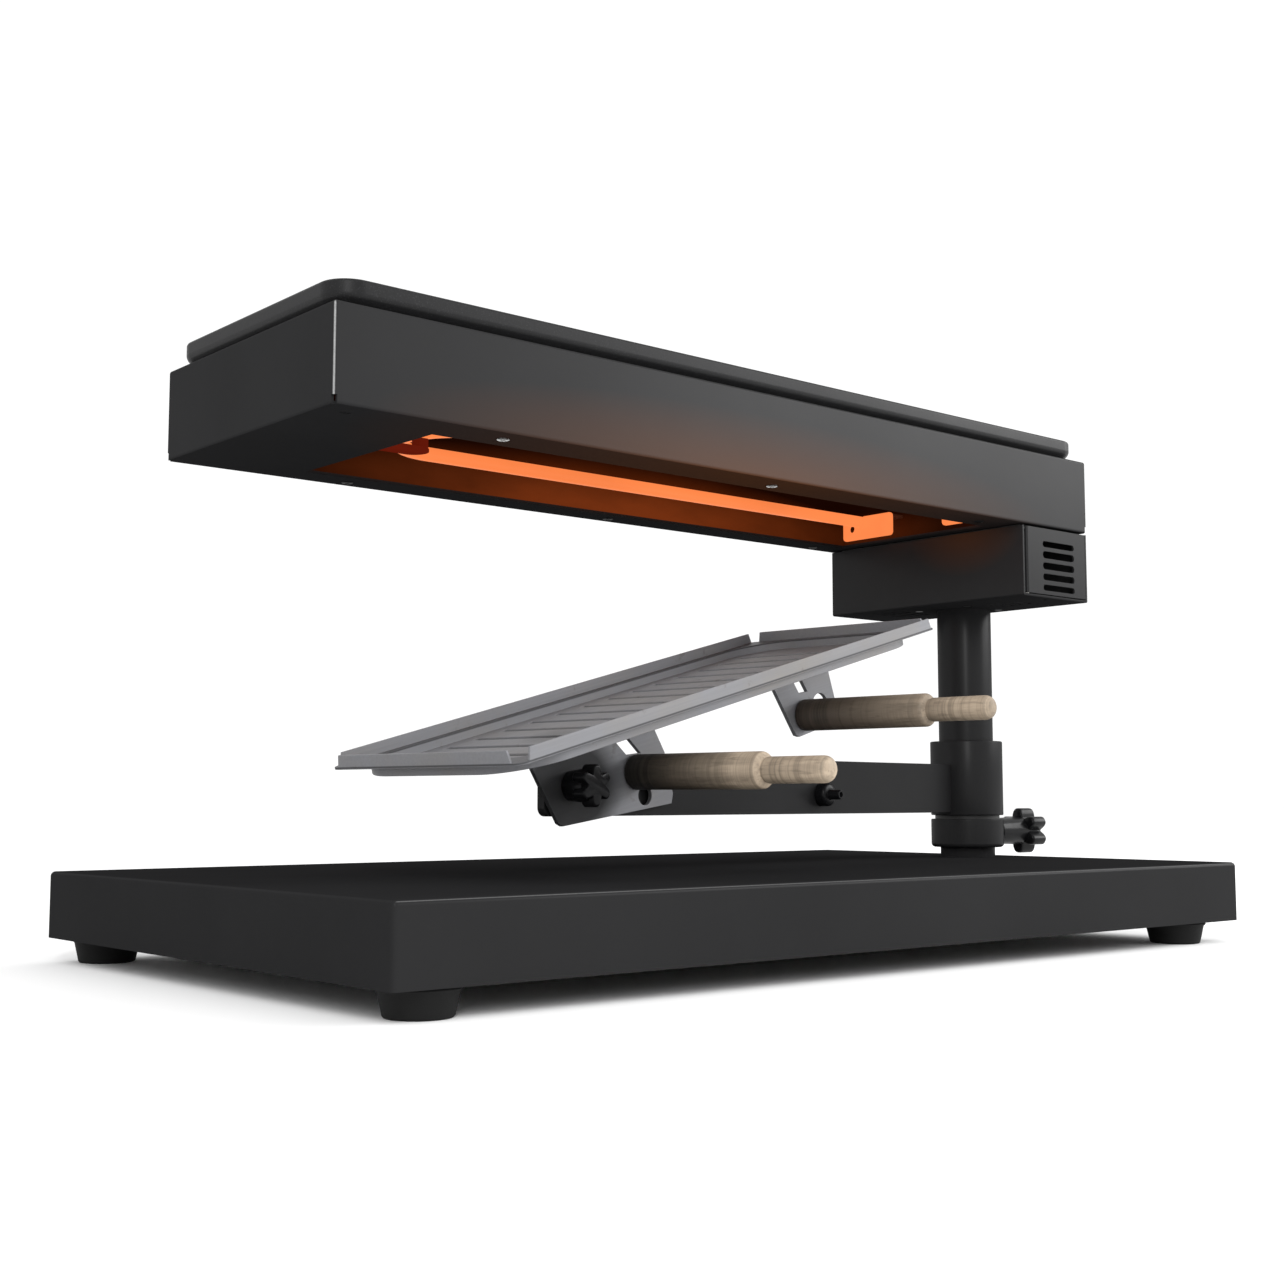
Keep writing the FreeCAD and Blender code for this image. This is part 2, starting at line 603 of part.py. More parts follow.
def is_along_x(edge):
    return abs(edge.tangentAt(edge.FirstParameter).x) > 0.99


def saddle_plate(x, y0, y1, z0, leg_y, tab_y):
    """Upright plate with an open notch for a leg, and a tab from its top edge to the reflector's end."""
    t = ELEMENT_PLATE_SHEET
    z1 = ELEMENT_Z + 2.6
    plate = round_edges(box(x, x + t, y0, y1, z0, z1), 2.0, is_along_x)
    tab = box(x + t - 0.5, OPENING_RIGHT, tab_y, tab_y + 10, z1 - t, z1)
    r = ELEMENT_R + WELD_GAP
    notch = [
        rod(r, V(x - 1, leg_y, ELEMENT_Z), X_AXIS, 4),
        box(x - 1, x + 3, leg_y - r, leg_y + r, ELEMENT_Z, z1 + 1),
    ]
    return join([plate, tab]).cut(notch)


def element_end_plate():
    plate = saddle_plate(END_PLATE_X, 136.4, 170.0, HEAD_BOTTOM + 0.4, LEG_BACK_Y, 140.0)
    return plate.cut(rod(1.9, V(END_PLATE_X - 1, 164.0, ELEMENT_Z - 3.3), X_AXIS, 4))


def element_front_bracket():
    return saddle_plate(FRONT_BRACKET_X, OPENING_FRONT + 0.2, 110.8, ELEMENT_Z - 7.0, LEG_FRONT_Y, 91.0)


def element_clip():
    """Tongue under the bend: it reaches in from the head's left part and ends round."""
    z0 = HEAD_INSIDE_BOTTOM
    end_r = CLIP_WIDTH / 2
    tongue = join([
        box(CLIP_START, CLIP_END - end_r, CLIP_Y - end_r, CLIP_Y + end_r, z0, z0 + CLIP_SHEET),
        rod(end_r, V(CLIP_END - end_r, CLIP_Y, z0), Z_AXIS, CLIP_SHEET),
    ])
    post = box(CLIP_END - 5.0, CLIP_END - 1.0, CLIP_Y - 3, CLIP_Y + 3, z0 + CLIP_SHEET, ELEMENT_Z - ELEMENT_R)
    return join([tongue, post])


def lead(points):
    """Wire through the given corners, with a ball at each turn."""
    shapes = []
    for p, q in zip(points, points[1:]):
        run = q.sub(p)
        shapes.append(Part.makeCylinder(LEAD_R, run.Length, p, run))
    shapes += [Part.makeSphere(LEAD_R, p) for p in points[1:-1]]
    return join(shapes)


def lead_wires():
    """Two leads from the element's ends down to the terminal block's top."""
    front = (LEG_FRONT_Y, LEAD_FRONT_X, TERMINAL_WAYS[2])
    back = (LEG_BACK_Y, LEAD_BACK_X, TERMINAL_WAYS[0])
    leads = []
    for leg_y, x, way_y in (front, back):
        leads.append(lead([
            V(ELEMENT_RIGHT + 0.1, leg_y, ELEMENT_Z),
            V(x, leg_y, ELEMENT_Z),
            V(x, leg_y, LEAD_TURN_Z),
            V(x, way_y, LEAD_TURN_Z),
            V(x, way_y, TERMINAL_TOP),
        ]))
    return Part.makeCompound(leads)


CUTOUT_X = 300.0


def thermal_cutout():
    """Safety thermostat on the reflector's back: a round cup under a square block."""
    z0 = REFLECTOR_TOP
    cup = rod(7.0, V(CUTOUT_X, COLUMN_Y, z0), Z_AXIS, 3.0)
    block = box(CUTOUT_X - 6, CUTOUT_X + 6, COLUMN_Y - 4, COLUMN_Y + 4, z0, z0 + 4)
    return join([cup, block])


def griddle_spacers():
    pads = []
    for x in (HEAD_LEFT + 40, HEAD_RIGHT - 40):
        for y in (HEAD_FRONT + 9, HEAD_BACK - 9):
            pads.append(rod(SPACER_R, V(x, y, HEAD_TOP), Z_AXIS, GRIDDLE_GAP))
    return Part.makeCompound(pads)


def griddle_plate():
    x0 = HEAD_LEFT + GRIDDLE_INSET_LEFT
    x1 = HEAD_RIGHT
    y0 = HEAD_FRONT + GRIDDLE_INSET_FRONT
    y1 = HEAD_BACK
    z0 = HEAD_TOP + GRIDDLE_GAP
    z1 = z0 + GRIDDLE_BEVEL + GRIDDLE_LIP
    body = rounded_plate(x0, x1, y0, y1, z0, z1, GRIDDLE_CORNER_R)
    body = body.makeChamfer(GRIDDLE_BEVEL, [e for e in body.Edges if at_height(z0)(e)])
    rim = GRIDDLE_RIM
    pan_z = z0 + GRIDDLE_FLOOR
    pan = rounded_plate(x0 + rim, x1 - rim, y0 + rim, y1 - rim, pan_z, z1 + 1, GRIDDLE_CORNER_R - rim)
    return round_edges(body.cut(pan), 0.8, at_height(z1))


# Collar on the column

KNOB_Z = (COLLAR_BOTTOM + COLLAR_TOP) / 2 + 0.7
BOSS_R = 6.5
BOSS_END = 22.0
STUD_R = 2.5
KNOB_DISC_START = 42.0
KNOB_DISC_END = 54.0
KNOB_DISC_R = 12.0
STUD_LENGTH = 30.0


def height_collar():
    ring = rod(COLLAR_R, V(COLUMN_X, COLUMN_Y, COLLAR_BOTTOM), Z_AXIS, COLLAR_TOP - COLLAR_BOTTOM)
    ring = round_edges(ring, 2.0, at_height(COLLAR_BOTTOM))
    ring = round_edges(ring, 0.6, at_height(COLLAR_TOP))
    boss = rod(BOSS_R, V(COLUMN_X + 15, COLUMN_Y, KNOB_Z), X_AXIS, BOSS_END - 15)
    ring = join([ring, boss])
    return ring.cut([
        rod(COLUMN_R + RUNNING_GAP, V(COLUMN_X, COLUMN_Y, COLLAR_BOTTOM - 1), Z_AXIS, 20),
        rod(STUD_R + RUNNING_GAP, V(COLUMN_X, COLUMN_Y, KNOB_Z), X_AXIS, 30),
    ])


def collar_stud():
    """Threaded rod that clamps on the column; its back end sits in the knob."""
    return rod(STUD_R, V(COLUMN_X + COLUMN_R + 0.4, COLUMN_Y, KNOB_Z), X_AXIS, STUD_LENGTH)


def collar_knob():
    """Conical hub with a thick lobed disc at its outer end."""
    start = BOSS_END + 0.4
    hub = Part.makeCone(6.8, 7.8, KNOB_DISC_START - start, V(COLUMN_X + start, COLUMN_Y, KNOB_Z), X_AXIS)
    disc = star_knob(V(COLUMN_X + KNOB_DISC_START, COLUMN_Y, KNOB_Z), X_AXIS, KNOB_DISC_R, 3.2,
                     KNOB_DISC_END - KNOB_DISC_START)
    stud_hole = rod(STUD_R + WELD_GAP, V(COLUMN_X, COLUMN_Y, KNOB_Z), X_AXIS, COLUMN_R + STUD_LENGTH + 0.5)
    return join([hub, disc]).cut(stud_hole)


def thrust_washer():
    ring = rod(THRUST_WASHER_R, V(COLUMN_X, COLUMN_Y, COLLAR_TOP), Z_AXIS, WASHER_TOP - COLLAR_TOP)
    return ring.cut(rod(COLUMN_R + RUNNING_GAP, V(COLUMN_X, COLUMN_Y, COLLAR_TOP - 1), Z_AXIS, 5))


# Arm: drawn with X from the column to the tip, Y to the front and Z up

SLEEVE_BOTTOM = WASHER_TOP + 0.05
SLEEVE_BORE_R = 16.2
BUSH_LENGTH = 10.0


def on_arm(along, depth):
    """Place in the arm's frame of a point given along the tray's floor and below it, at the rest tilt."""
    tilt = math.radians(TRAY_TILT)
    x = TRAY_LEFT_S - along * math.cos(tilt) - depth * math.sin(tilt)
    z = TRAY_LEFT_Z + along * math.sin(tilt) - depth * math.cos(tilt)
    return x, z


PIVOT_X, PIVOT_Z = on_arm(PIVOT_ALONG, PIVOT_DEPTH)
STOP_X = PIVOT_X - (STOP_ALONG - PIVOT_ALONG)
STOP_Z = PIVOT_Z - (STOP_DEPTH - PIVOT_DEPTH)


def arm_sleeve():
    tube = rod(SLEEVE_R, V(0, 0, SLEEVE_BOTTOM), Z_AXIS, SLEEVE_TOP - SLEEVE_BOTTOM)
    tube = tube.makeChamfer(0.7, [e for e in tube.Edges if at_height(SLEEVE_TOP)(e)])
    return tube.cut(rod(SLEEVE_BORE_R, V(0, 0, SLEEVE_BOTTOM - 1), Z_AXIS, 50))


def sleeve_bush(z0):
    ring = rod(SLEEVE_BORE_R, V(0, 0, z0), Z_AXIS, BUSH_LENGTH)
    return ring.cut(rod(COLUMN_R + RUNNING_GAP, V(0, 0, z0 - 1), Z_AXIS, BUSH_LENGTH + 2))


def arm_bar():
    bar = box(0, ARM_REACH, -ARM_HALF_THICK, ARM_HALF_THICK, ARM_BOTTOM, ARM_TOP)
    tip = [e for e in bar.Edges
           if abs(e.tangentAt(e.FirstParameter).y) > 0.99 and e.BoundBox.XMin > ARM_REACH - 1]
    bar = bar.makeFillet(ARM_TIP_R, tip)
    return bar.cut([
        rod(SLEEVE_R, V(0, 0, ARM_BOTTOM - 1), Z_AXIS, 40),
        rod(PIVOT_R + WELD_GAP, V(PIVOT_X, -10, PIVOT_Z), Y_AXIS, 20),
        rod(STUD_R + WELD_GAP, V(STOP_X, -10, STOP_Z), Y_AXIS, 20),
    ])


def pivot_bolt():
    """Coach bolt through the arm's tip; its head is behind the arm."""
    back = -ARM_HALF_THICK - 1
    shank = rod(PIVOT_R, V(PIVOT_X, back, PIVOT_Z), Y_AXIS, BOLT_END - back)
    head = turned([(0, 0), (9.0, 0), (8.4, 1.8), (6.4, 3.2), (3.4, 4.0), (0, 4.2)],
                  V(PIVOT_X, -ARM_HALF_THICK, PIVOT_Z), V(0, -1, 0))
    return join([shank, head])


def pivot_washer():
    start = V(PIVOT_X, ARM_HALF_THICK, PIVOT_Z)
    length = BRACKET_INNER - ARM_HALF_THICK - 0.05
    return rod(PIVOT_WASHER_R, start, Y_AXIS, length).cut(rod(PIVOT_R + WELD_GAP, start, Y_AXIS, length))


def tilt_knob():
    """Smaller knob of the collar knob's shape; it clamps the left bracket."""
    start = BRACKET_OUTER + 0.1
    hub = Part.makeCone(6.0, 7.0, TILT_KNOB_DISC_START - start, V(PIVOT_X, start, PIVOT_Z), Y_AXIS)
    disc = star_knob(V(PIVOT_X, TILT_KNOB_DISC_START, PIVOT_Z), Y_AXIS, TILT_KNOB_DISC_R, 2.3,
                     TILT_KNOB_DISC_END - TILT_KNOB_DISC_START)
    return join([hub, disc]).cut(rod(PIVOT_R + WELD_GAP, V(PIVOT_X, 0, PIVOT_Z), Y_AXIS, BOLT_END + 0.3))


def stop_stud():
    """Button screwed into the arm's front; the right bracket's slot rests on it when the tray is level."""
    seat = ARM_HALF_THICK
    button = STOP_BUTTON_END - seat
    stem = STOP_STEM_END - seat
    profile = [(0, 0), (STOP_BUTTON_R, 0), (STOP_BUTTON_R, button - 1.0), (STOP_BUTTON_R - 1.0, button),
               (STOP_STEM_R, button), (STOP_STEM_R, stem - 0.5), (STOP_STEM_R - 0.5, stem), (0, stem)]
    head = turned(profile, V(STOP_X, seat, STOP_Z), Y_AXIS)
    shank = rod(STUD_R, V(STOP_X, -ARM_HALF_THICK, STOP_Z), Y_AXIS, 2 * ARM_HALF_THICK + 0.5)
    return join([head, shank])


# Tray: drawn along its floor, with the left end at zero and the floor's top face at zero height.
# Points are given as a distance along the floor towards the column and a depth below the floor.

def tray_box(along0, along1, y0, y1, depth0, depth1):
    return box(-along1, -along0, y0, y1, -depth1, -depth0)


def tray_rod(radius, along, depth, y0, length):
    return rod(radius, V(-along, y0, -depth), Y_AXIS, length)


def tray_wall(start, end, thick_vector):
    """Upstanding wall between two floor points, its ends leaning in a little."""
    lean = end.sub(start).normalize() * 1.5
    up = V(0, 0, TRAY_WALL)
    outline = [start, end, end.sub(lean).add(up), start.add(lean).add(up)]
    return Part.Face(Part.makePolygon(outline + [start])).extrude(thick_vector)


def cheese_tray():
    half = TRAY_WIDTH / 2
    t = TRAY_SHEET
    n = TRAY_NOTCH
    inset = WELL_INSET
    rim = tray_box(0, TRAY_LENGTH, -half, half, 0, t)
    rim = round_edges(rim, TRAY_CORNER_R, lambda e: is_upright(e) and e.BoundBox.XMin > -1)
    rim = round_edges(rim, TRAY_CORNER_RIGHT_R, lambda e: is_upright(e) and e.BoundBox.XMax < 1 - TRAY_LENGTH)
    well = rounded_plate(-TRAY_LENGTH + inset, -inset, -half + inset, half - inset, -WELL_DEPTH, 0,
                         WELL_CORNER_R)
    inner = inset + t
    hollow = rounded_plate(-TRAY_LENGTH + inner, -inner, -half + inner, half - inner, -WELL_DEPTH + t, 5,
                           WELL_CORNER_R - t)
    walls = []
    for side in (-1, 1):
        y = side * half
        walls.append(tray_wall(V(-n, y, -t), V(-TRAY_LENGTH + TRAY_NOTCH_RIGHT, y, -t), V(0, -side * t, 0)))
    for x, inward in ((0, -t), (-TRAY_LENGTH, t)):
        walls.append(tray_wall(V(x, -half + n, -t), V(x, half - n, -t), V(inward, 0, 0)))
    body = join([join([rim, well]).cut(hollow)] + walls)
    slots = []
    count = int((TRAY_LENGTH - 2 * SLOT_FIRST) / SLOT_PITCH) + 1
    reach = half - SLOT_END_GAP
    for i in range(count):
        start = SLOT_FIRST + SLOT_PITCH * i - SLOT_WIDTH / 2
        slots.append(tray_box(start, start + SLOT_WIDTH, -reach, reach, 0, WELL_DEPTH + 1))
    return body.cut(slots)


def bracket(outline, flange_start, flange_end):
    """Plate under the tray with a flange that is welded to the tray's underside."""
    plate = prism([(-along, BRACKET_INNER, -depth) for along, depth in outline], Y_AXIS, BRACKET_THICK)
    flange = tray_box(flange_start, flange_end, BRACKET_INNER - FLANGE_WIDTH, BRACKET_OUTER, WELL_DEPTH,
                      WELL_DEPTH + BRACKET_THICK)
    return join([plate, flange])


def left_bracket():
    outline = [(46.6, WELL_DEPTH), (58.2, 37.4), (60.2, 39.0), (124.5, 46.2), (126.4, 42.5), (125.6, 24.4),
               (118.6, WELL_DEPTH)]
    window = prism([(-94.0, 0, -9.0), (-101.0, 0, -8.0), (-111.0, 0, -21.4), (-102.6, 0, -20.2)], Y_AXIS, 12)
    body = bracket(outline, 50.0, 116.0)
    return body.cut([
        tray_rod(PIVOT_R + RUNNING_GAP, PIVOT_ALONG, PIVOT_DEPTH, 0, 12),
        tray_rod(4.0, 109.3, 39.0, 0, 12),
        tray_rod(HANDLE_SCREW_R + 0.1, *LEFT_HANDLE_POINT, 0, 12),
        window,
    ])


def right_bracket():
    outline = [(201.0, WELL_DEPTH), (215.4, 37.8), (217.8, 38.9), (246.5, 38.4), (249.3, 34.0), (248.8, 25.9),
               (246.2, WELL_DEPTH)]
    window = prism([(-217.5, 0, -9.0), (-223.5, 0, -8.5), (-229.0, 0, -19.9), (-222.4, 0, -19.4)], Y_AXIS, 12)
    slot_r = STOP_BUTTON_R + 0.55
    slot_end = STOP_DEPTH + 0.6
    return bracket(outline, 208.0, 243.0).cut([
        tray_rod(slot_r, STOP_ALONG, slot_end, 0, 12),
        tray_box(STOP_ALONG - slot_r, STOP_ALONG + slot_r, 0, 12, slot_end, slot_end + 15),
        tray_rod(HANDLE_SCREW_R + 0.1, *RIGHT_HANDLE_POINT, 0, 12),
        window,
    ])


def handle(along, depth):
    """Turned handle: a thick grip with round shoulders and a thinner round tip."""
    grip = tray_rod(HANDLE_THICK_R, along, depth, BRACKET_OUTER, HANDLE_STEP - BRACKET_OUTER)
    grip = grip.makeFillet(2.6, [e for e in grip.Edges if e.Closed])
    tip = tray_rod(HANDLE_THIN_R, along, depth, HANDLE_STEP - 5, HANDLE_END - HANDLE_STEP + 5)
    tip = tip.makeFillet(3.8, [e for e in tip.Edges if e.Closed and e.BoundBox.YMin > HANDLE_STEP])
    hole_end = BRACKET_INNER + HANDLE_SCREW_LENGTH + 0.5
    return join([grip, tip]).cut(tray_rod(HANDLE_SCREW_R + WELD_GAP, along, depth, 0, hole_end))


def handle_screws():
    """Low heads, because the arm passes close behind the brackets."""
    screws = []
    for along, depth in (LEFT_HANDLE_POINT, RIGHT_HANDLE_POINT):
        seat = V(-along, BRACKET_INNER, -depth)
        screws.append(pan_screw(3.5, 1.2, HANDLE_SCREW_R, HANDLE_SCREW_LENGTH, seat, V(0, -1, 0)))
    return Part.makeCompound(screws)


def main():
    os.makedirs("parts", exist_ok=True)

    save("base_shell", base_shell())
    save("base_bottom_plate", base_bottom_plate())
    for place, (x, y) in FOOT_CENTRES.items():
        save("foot_" + place, foot(x, y))
    save("foot_screws", foot_screws())
    save("column_mount_plate", column_mount_plate())
    save("column_nuts", column_nuts())
    save("column_tube", column_tube())

    save("neck_housing", neck_housing())
    save("neck_front_panel", neck_front_panel())
    save("neck_back_panel", neck_back_panel())
    save("back_panel_screws", back_panel_screws())
    save("neck_mount_plate", neck_mount_plate())
    save("neck_screws", neck_screws())
    save("neck_gasket", neck_gasket())
    save("switch_frame", switch_frame())
    save("switch_rocker", switch_rocker())
    save("cable_gland", cable_gland())
    save("terminal_block", terminal_block())
    save("lead_wires", lead_wires())

    save("head_shell", head_shell())
    save("head_screws", head_screws())
    save("reflector", reflector())
    save("heating_element", heating_element())
    save("element_end_plate", element_end_plate())
    save("element_front_bracket", element_front_bracket())
    save("element_clip", element_clip())
    save("thermal_cutout", thermal_cutout())
    save("griddle_spacers", griddle_spacers())
    save("griddle_plate", griddle_plate())

    save("height_collar", height_collar())
    save("collar_stud", collar_stud())
    save("collar_knob", collar_knob())
    save("thrust_washer", thrust_washer())

    save_on(ARM_FRAME, "arm_sleeve", arm_sleeve())
    save_on(ARM_FRAME, "lower_bush", sleeve_bush(SLEEVE_BOTTOM + 0.4))
    save_on(ARM_FRAME, "upper_bush", sleeve_bush(SLEEVE_TOP - BUSH_LENGTH - 1.0))
    save_on(ARM_FRAME, "arm_bar", arm_bar())
    save_on(ARM_FRAME, "pivot_bolt", pivot_bolt())
    save_on(ARM_FRAME, "pivot_washer", pivot_washer())
    save_on(ARM_FRAME, "tilt_knob", tilt_knob())
    save_on(ARM_FRAME, "stop_stud", stop_stud())

    save_on(TRAY_FRAME, "cheese_tray", cheese_tray())
    save_on(TRAY_FRAME, "left_bracket", left_bracket())
    save_on(TRAY_FRAME, "right_bracket", right_bracket())
    save_on(TRAY_FRAME, "left_handle", handle(*LEFT_HANDLE_POINT))
    save_on(TRAY_FRAME, "right_handle", handle(*RIGHT_HANDLE_POINT))
    save_on(TRAY_FRAME, "handle_screws", handle_screws())


main()
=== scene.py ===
import json
import math

import bmesh
import bpy
from mathutils import Matrix, Vector

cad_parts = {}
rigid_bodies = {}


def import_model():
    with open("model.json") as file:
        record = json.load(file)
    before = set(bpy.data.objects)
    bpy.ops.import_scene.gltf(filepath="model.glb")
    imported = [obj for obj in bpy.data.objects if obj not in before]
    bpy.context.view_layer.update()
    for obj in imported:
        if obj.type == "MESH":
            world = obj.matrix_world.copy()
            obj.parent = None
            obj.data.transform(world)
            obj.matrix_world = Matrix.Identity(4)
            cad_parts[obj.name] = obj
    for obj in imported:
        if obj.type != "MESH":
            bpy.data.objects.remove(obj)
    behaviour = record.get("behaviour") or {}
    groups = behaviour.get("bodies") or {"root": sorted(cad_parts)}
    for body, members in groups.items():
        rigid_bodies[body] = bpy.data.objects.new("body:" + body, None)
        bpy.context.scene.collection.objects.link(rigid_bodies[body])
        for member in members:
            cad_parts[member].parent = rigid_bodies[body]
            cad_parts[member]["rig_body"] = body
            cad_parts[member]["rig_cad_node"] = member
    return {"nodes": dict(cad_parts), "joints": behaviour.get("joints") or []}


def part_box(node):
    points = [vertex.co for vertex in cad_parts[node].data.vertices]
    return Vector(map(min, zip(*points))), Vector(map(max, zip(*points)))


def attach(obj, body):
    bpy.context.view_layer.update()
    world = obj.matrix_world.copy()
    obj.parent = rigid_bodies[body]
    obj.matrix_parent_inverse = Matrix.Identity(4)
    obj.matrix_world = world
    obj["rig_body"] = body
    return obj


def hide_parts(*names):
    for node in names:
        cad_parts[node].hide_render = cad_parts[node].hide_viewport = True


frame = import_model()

bl_info = {
    "name": "Raclette grill",
    "version": (1, 0, 0),
    "blender": (4, 5, 0),
    "location": "3D View > Sidebar > Raclette",
    "description": "Models and finishes a raclette grill around its fixed frame",
    "category": "Add Mesh",
}

# Places taken from the frame

NODES = frame["nodes"]
BODY_OF = {name: node["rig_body"] for name, node in NODES.items()}
JOINTS = {joint["name"]: joint for joint in frame["joints"]}

MM = 0.001
HEAD_LOW, HEAD_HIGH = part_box("head_shell")
NECK_LOW, NECK_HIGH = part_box("neck_housing")
GRIDDLE_LOW, GRIDDLE_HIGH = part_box("griddle_plate")
COLUMN_LOW, COLUMN_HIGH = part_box("column_tube")
COLUMN_AXIS = (COLUMN_LOW + COLUMN_HIGH) / 2
KNOB_LOW, KNOB_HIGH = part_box("collar_knob")
KNOB_AXIS = Vector(JOINTS["collar_knob_turn"]["pos_m"])
PIVOT = Vector(JOINTS["tray_tilt"]["pos_m"])
TILT_AXIS = Vector(JOINTS["tray_tilt"]["axis"])
TRAY_TILT = math.radians(14.39)

# The arm's own frame: X from the column to the tip, Y to the front, Z up, from the column's axis
ARM_X = TILT_AXIS.cross(Vector((0, 0, 1)))
ARM_FRAME = Matrix.Translation((COLUMN_AXIS.x, COLUMN_AXIS.y, 0)) @ Matrix(
    (ARM_X, TILT_AXIS, (0, 0, 1))).transposed().to_4x4()
# The tray's frame turns about the pivot with the tray; X and Z then lie along and square to its floor
PIVOT_IN_ARM = ARM_FRAME.inverted() @ PIVOT
TRAY_FRAME = ARM_FRAME @ Matrix.Translation((PIVOT_IN_ARM.x, 0, PIVOT_IN_ARM.z)) @ Matrix.Rotation(
    TRAY_TILT, 4, "Y")
# Turns a piece made on the Z axis to lie along the Y axis of either frame, towards the front
LIE_FORWARD = Matrix.Rotation(-math.pi / 2, 4, "X")

# Wall of the column's tube, bore of the arm's sleeve, and thickness of the collar knob's disc
COLUMN_WALL = 2.0 * MM
SLEEVE_BORE_R = 16.2 * MM
COLLAR_DISC = 12.0 * MM
# Radii of the knobs' hubs where they start and where they meet the disc, and of the tilt knob's disc
COLLAR_HUB = (6.8 * MM, 7.8 * MM)
TILT_HUB = (6.0 * MM, 7.0 * MM)
TILT_DISC_R = 8.4 * MM

# Distances from the arm's middle plane, towards the front, where pieces start and end
ARM_FACE = 2.0 * MM
BRACKET_FACE = 5.5 * MM
TILT_DISC_START = 13.0 * MM
TILT_DISC_END = 20.0 * MM
HANDLE_STEP = 75.4 * MM
HANDLE_END = 105.75 * MM
# The handles' axes in the tray's frame, and the stop stud's axis in the arm's frame
HANDLE_PLACES = {"left_handle": (-37.1 * MM, -3.5 * MM), "right_handle": (-154.5 * MM, -5.2 * MM)}
STOP_PLACE = (130.6 * MM, 69.3 * MM)


# Shader maths

class Wire:
    """Output socket of a shader node that can be used in a sum, a product and so on."""

    def __init__(self, graph, socket):
        self.graph = graph
        self.socket = socket

    def _math(self, operation, first, second):
        return self.graph.add("ShaderNodeMath", {"operation": operation}, [first, second])

    def __add__(self, other):
        return self._math("ADD", self, other)

    __radd__ = __add__

    def __sub__(self, other):
        return self._math("SUBTRACT", self, other)

    def __rsub__(self, other):
        return self._math("SUBTRACT", other, self)

    def __mul__(self, other):
        return self._math("MULTIPLY", self, other)

    __rmul__ = __mul__

    def __pow__(self, other):
        return self._math("POWER", self, other)


class Finish:
    """A material with one Principled shader, and the few node recipes that its finish is built from."""

    def __init__(self, name, **constants):
        self.material = bpy.data.materials.new(name)
        self.material.use_nodes = True
        self.tree = self.material.node_tree
        self.tree.nodes.clear()
        output = self.tree.nodes.new("ShaderNodeOutputMaterial")
        self.shader = self.tree.nodes.new("ShaderNodeBsdfPrincipled")
        self.tree.links.new(self.shader.outputs["BSDF"], output.inputs["Surface"])
        for socket, value in constants.items():
            self.shader.inputs[socket.replace("_", " ")].default_value = value

    def add(self, kind, settings, inputs, output=0):
        """Adds a node: its settings first, then a value or a Wire for each input, by number or by name."""
        node = self.tree.nodes.new(kind)
        for key, value in settings.items():
            setattr(node, key, value)
        pairs = inputs.items() if isinstance(inputs, dict) else enumerate(inputs)
        for key, value in pairs:
            if isinstance(value, Wire):
                self.tree.links.new(value.socket, node.inputs[key])
            else:
                node.inputs[key].default_value = value
        return Wire(self, node.outputs[output])

    def place(self, stretch=(1, 1, 1), turn=(0, 0, 0), centre=(0, 0, 0)):
        """Object coordinates, seen from a centre, turned and then stretched."""
        here = self.add("ShaderNodeTexCoord", {}, {}, "Object")
        moved = self.add("ShaderNodeVectorMath", {"operation": "SUBTRACT"}, [here, centre])
        turned = self.add("ShaderNodeMapping", {"vector_type": "POINT"}, {0: moved, "Rotation": turn})
        return self.add("ShaderNodeVectorMath", {"operation": "MULTIPLY"}, [turned, stretch])

    def part_of(self, vector, axis):
        """One of a vector's three numbers."""
        return self.add("ShaderNodeSeparateXYZ", {}, [vector], axis)

    def noise(self, vector, scale, detail=2.0, roughness=0.5):
        """Soft random pattern from 0 to 1, about 0.5 on the average."""
        return self.add("ShaderNodeTexNoise", {}, {
            "Vector": vector, "Scale": scale, "Detail": detail, "Roughness": roughness})

    def ramp(self, value, low, high, bottom=0.0, top=1.0):
        """Slides from bottom to top while the value goes from low to high, and stays there."""
        return self.add("ShaderNodeMapRange", {"clamp": True}, [value, low, high, bottom, top])

    def blend(self, factor, first, second):
        """The first colour where the factor is 0 and the second where it is 1."""
        return self.add("ShaderNodeMix", {"data_type": "RGBA"}, {
            0: factor, 6: self.paint(first), 7: self.paint(second)}, 2)

    def paint(self, colour):
        """A colour as a node's input takes it."""
        return colour if isinstance(colour, Wire) else (*colour, 1.0)

    def spot(self, centre, reach):
        """1 in the middle of a soft spot and 0 from its edge on; reach is its half width each way."""
        scaled = self.place(stretch=tuple(1 / r for r in reach), centre=centre)
        far = self.add("ShaderNodeVectorMath", {"operation": "LENGTH"}, [scaled], "Value")
        return self.ramp(far, 1.0, 0.1)

    def near(self, vector, axis, face, inward):
        """1 at a face and 0 from 0.8 mm inside it."""
        return self.ramp(self.part_of(vector, axis), face + inward * 0.8 * MM, face + inward * 0.35 * MM)

    def bump(self, height, strength, distance):
        self.use("Normal", self.add("ShaderNodeBump", {}, {
            "Strength": strength, "Distance": distance, "Height": height}))

    def use(self, socket, wire):
        self.tree.links.new(wire.socket, self.shader.inputs[socket])


def shade(colour, factor):
    """A colour made darker or lighter."""
    return tuple(min(1.0, c * factor) for c in colour)


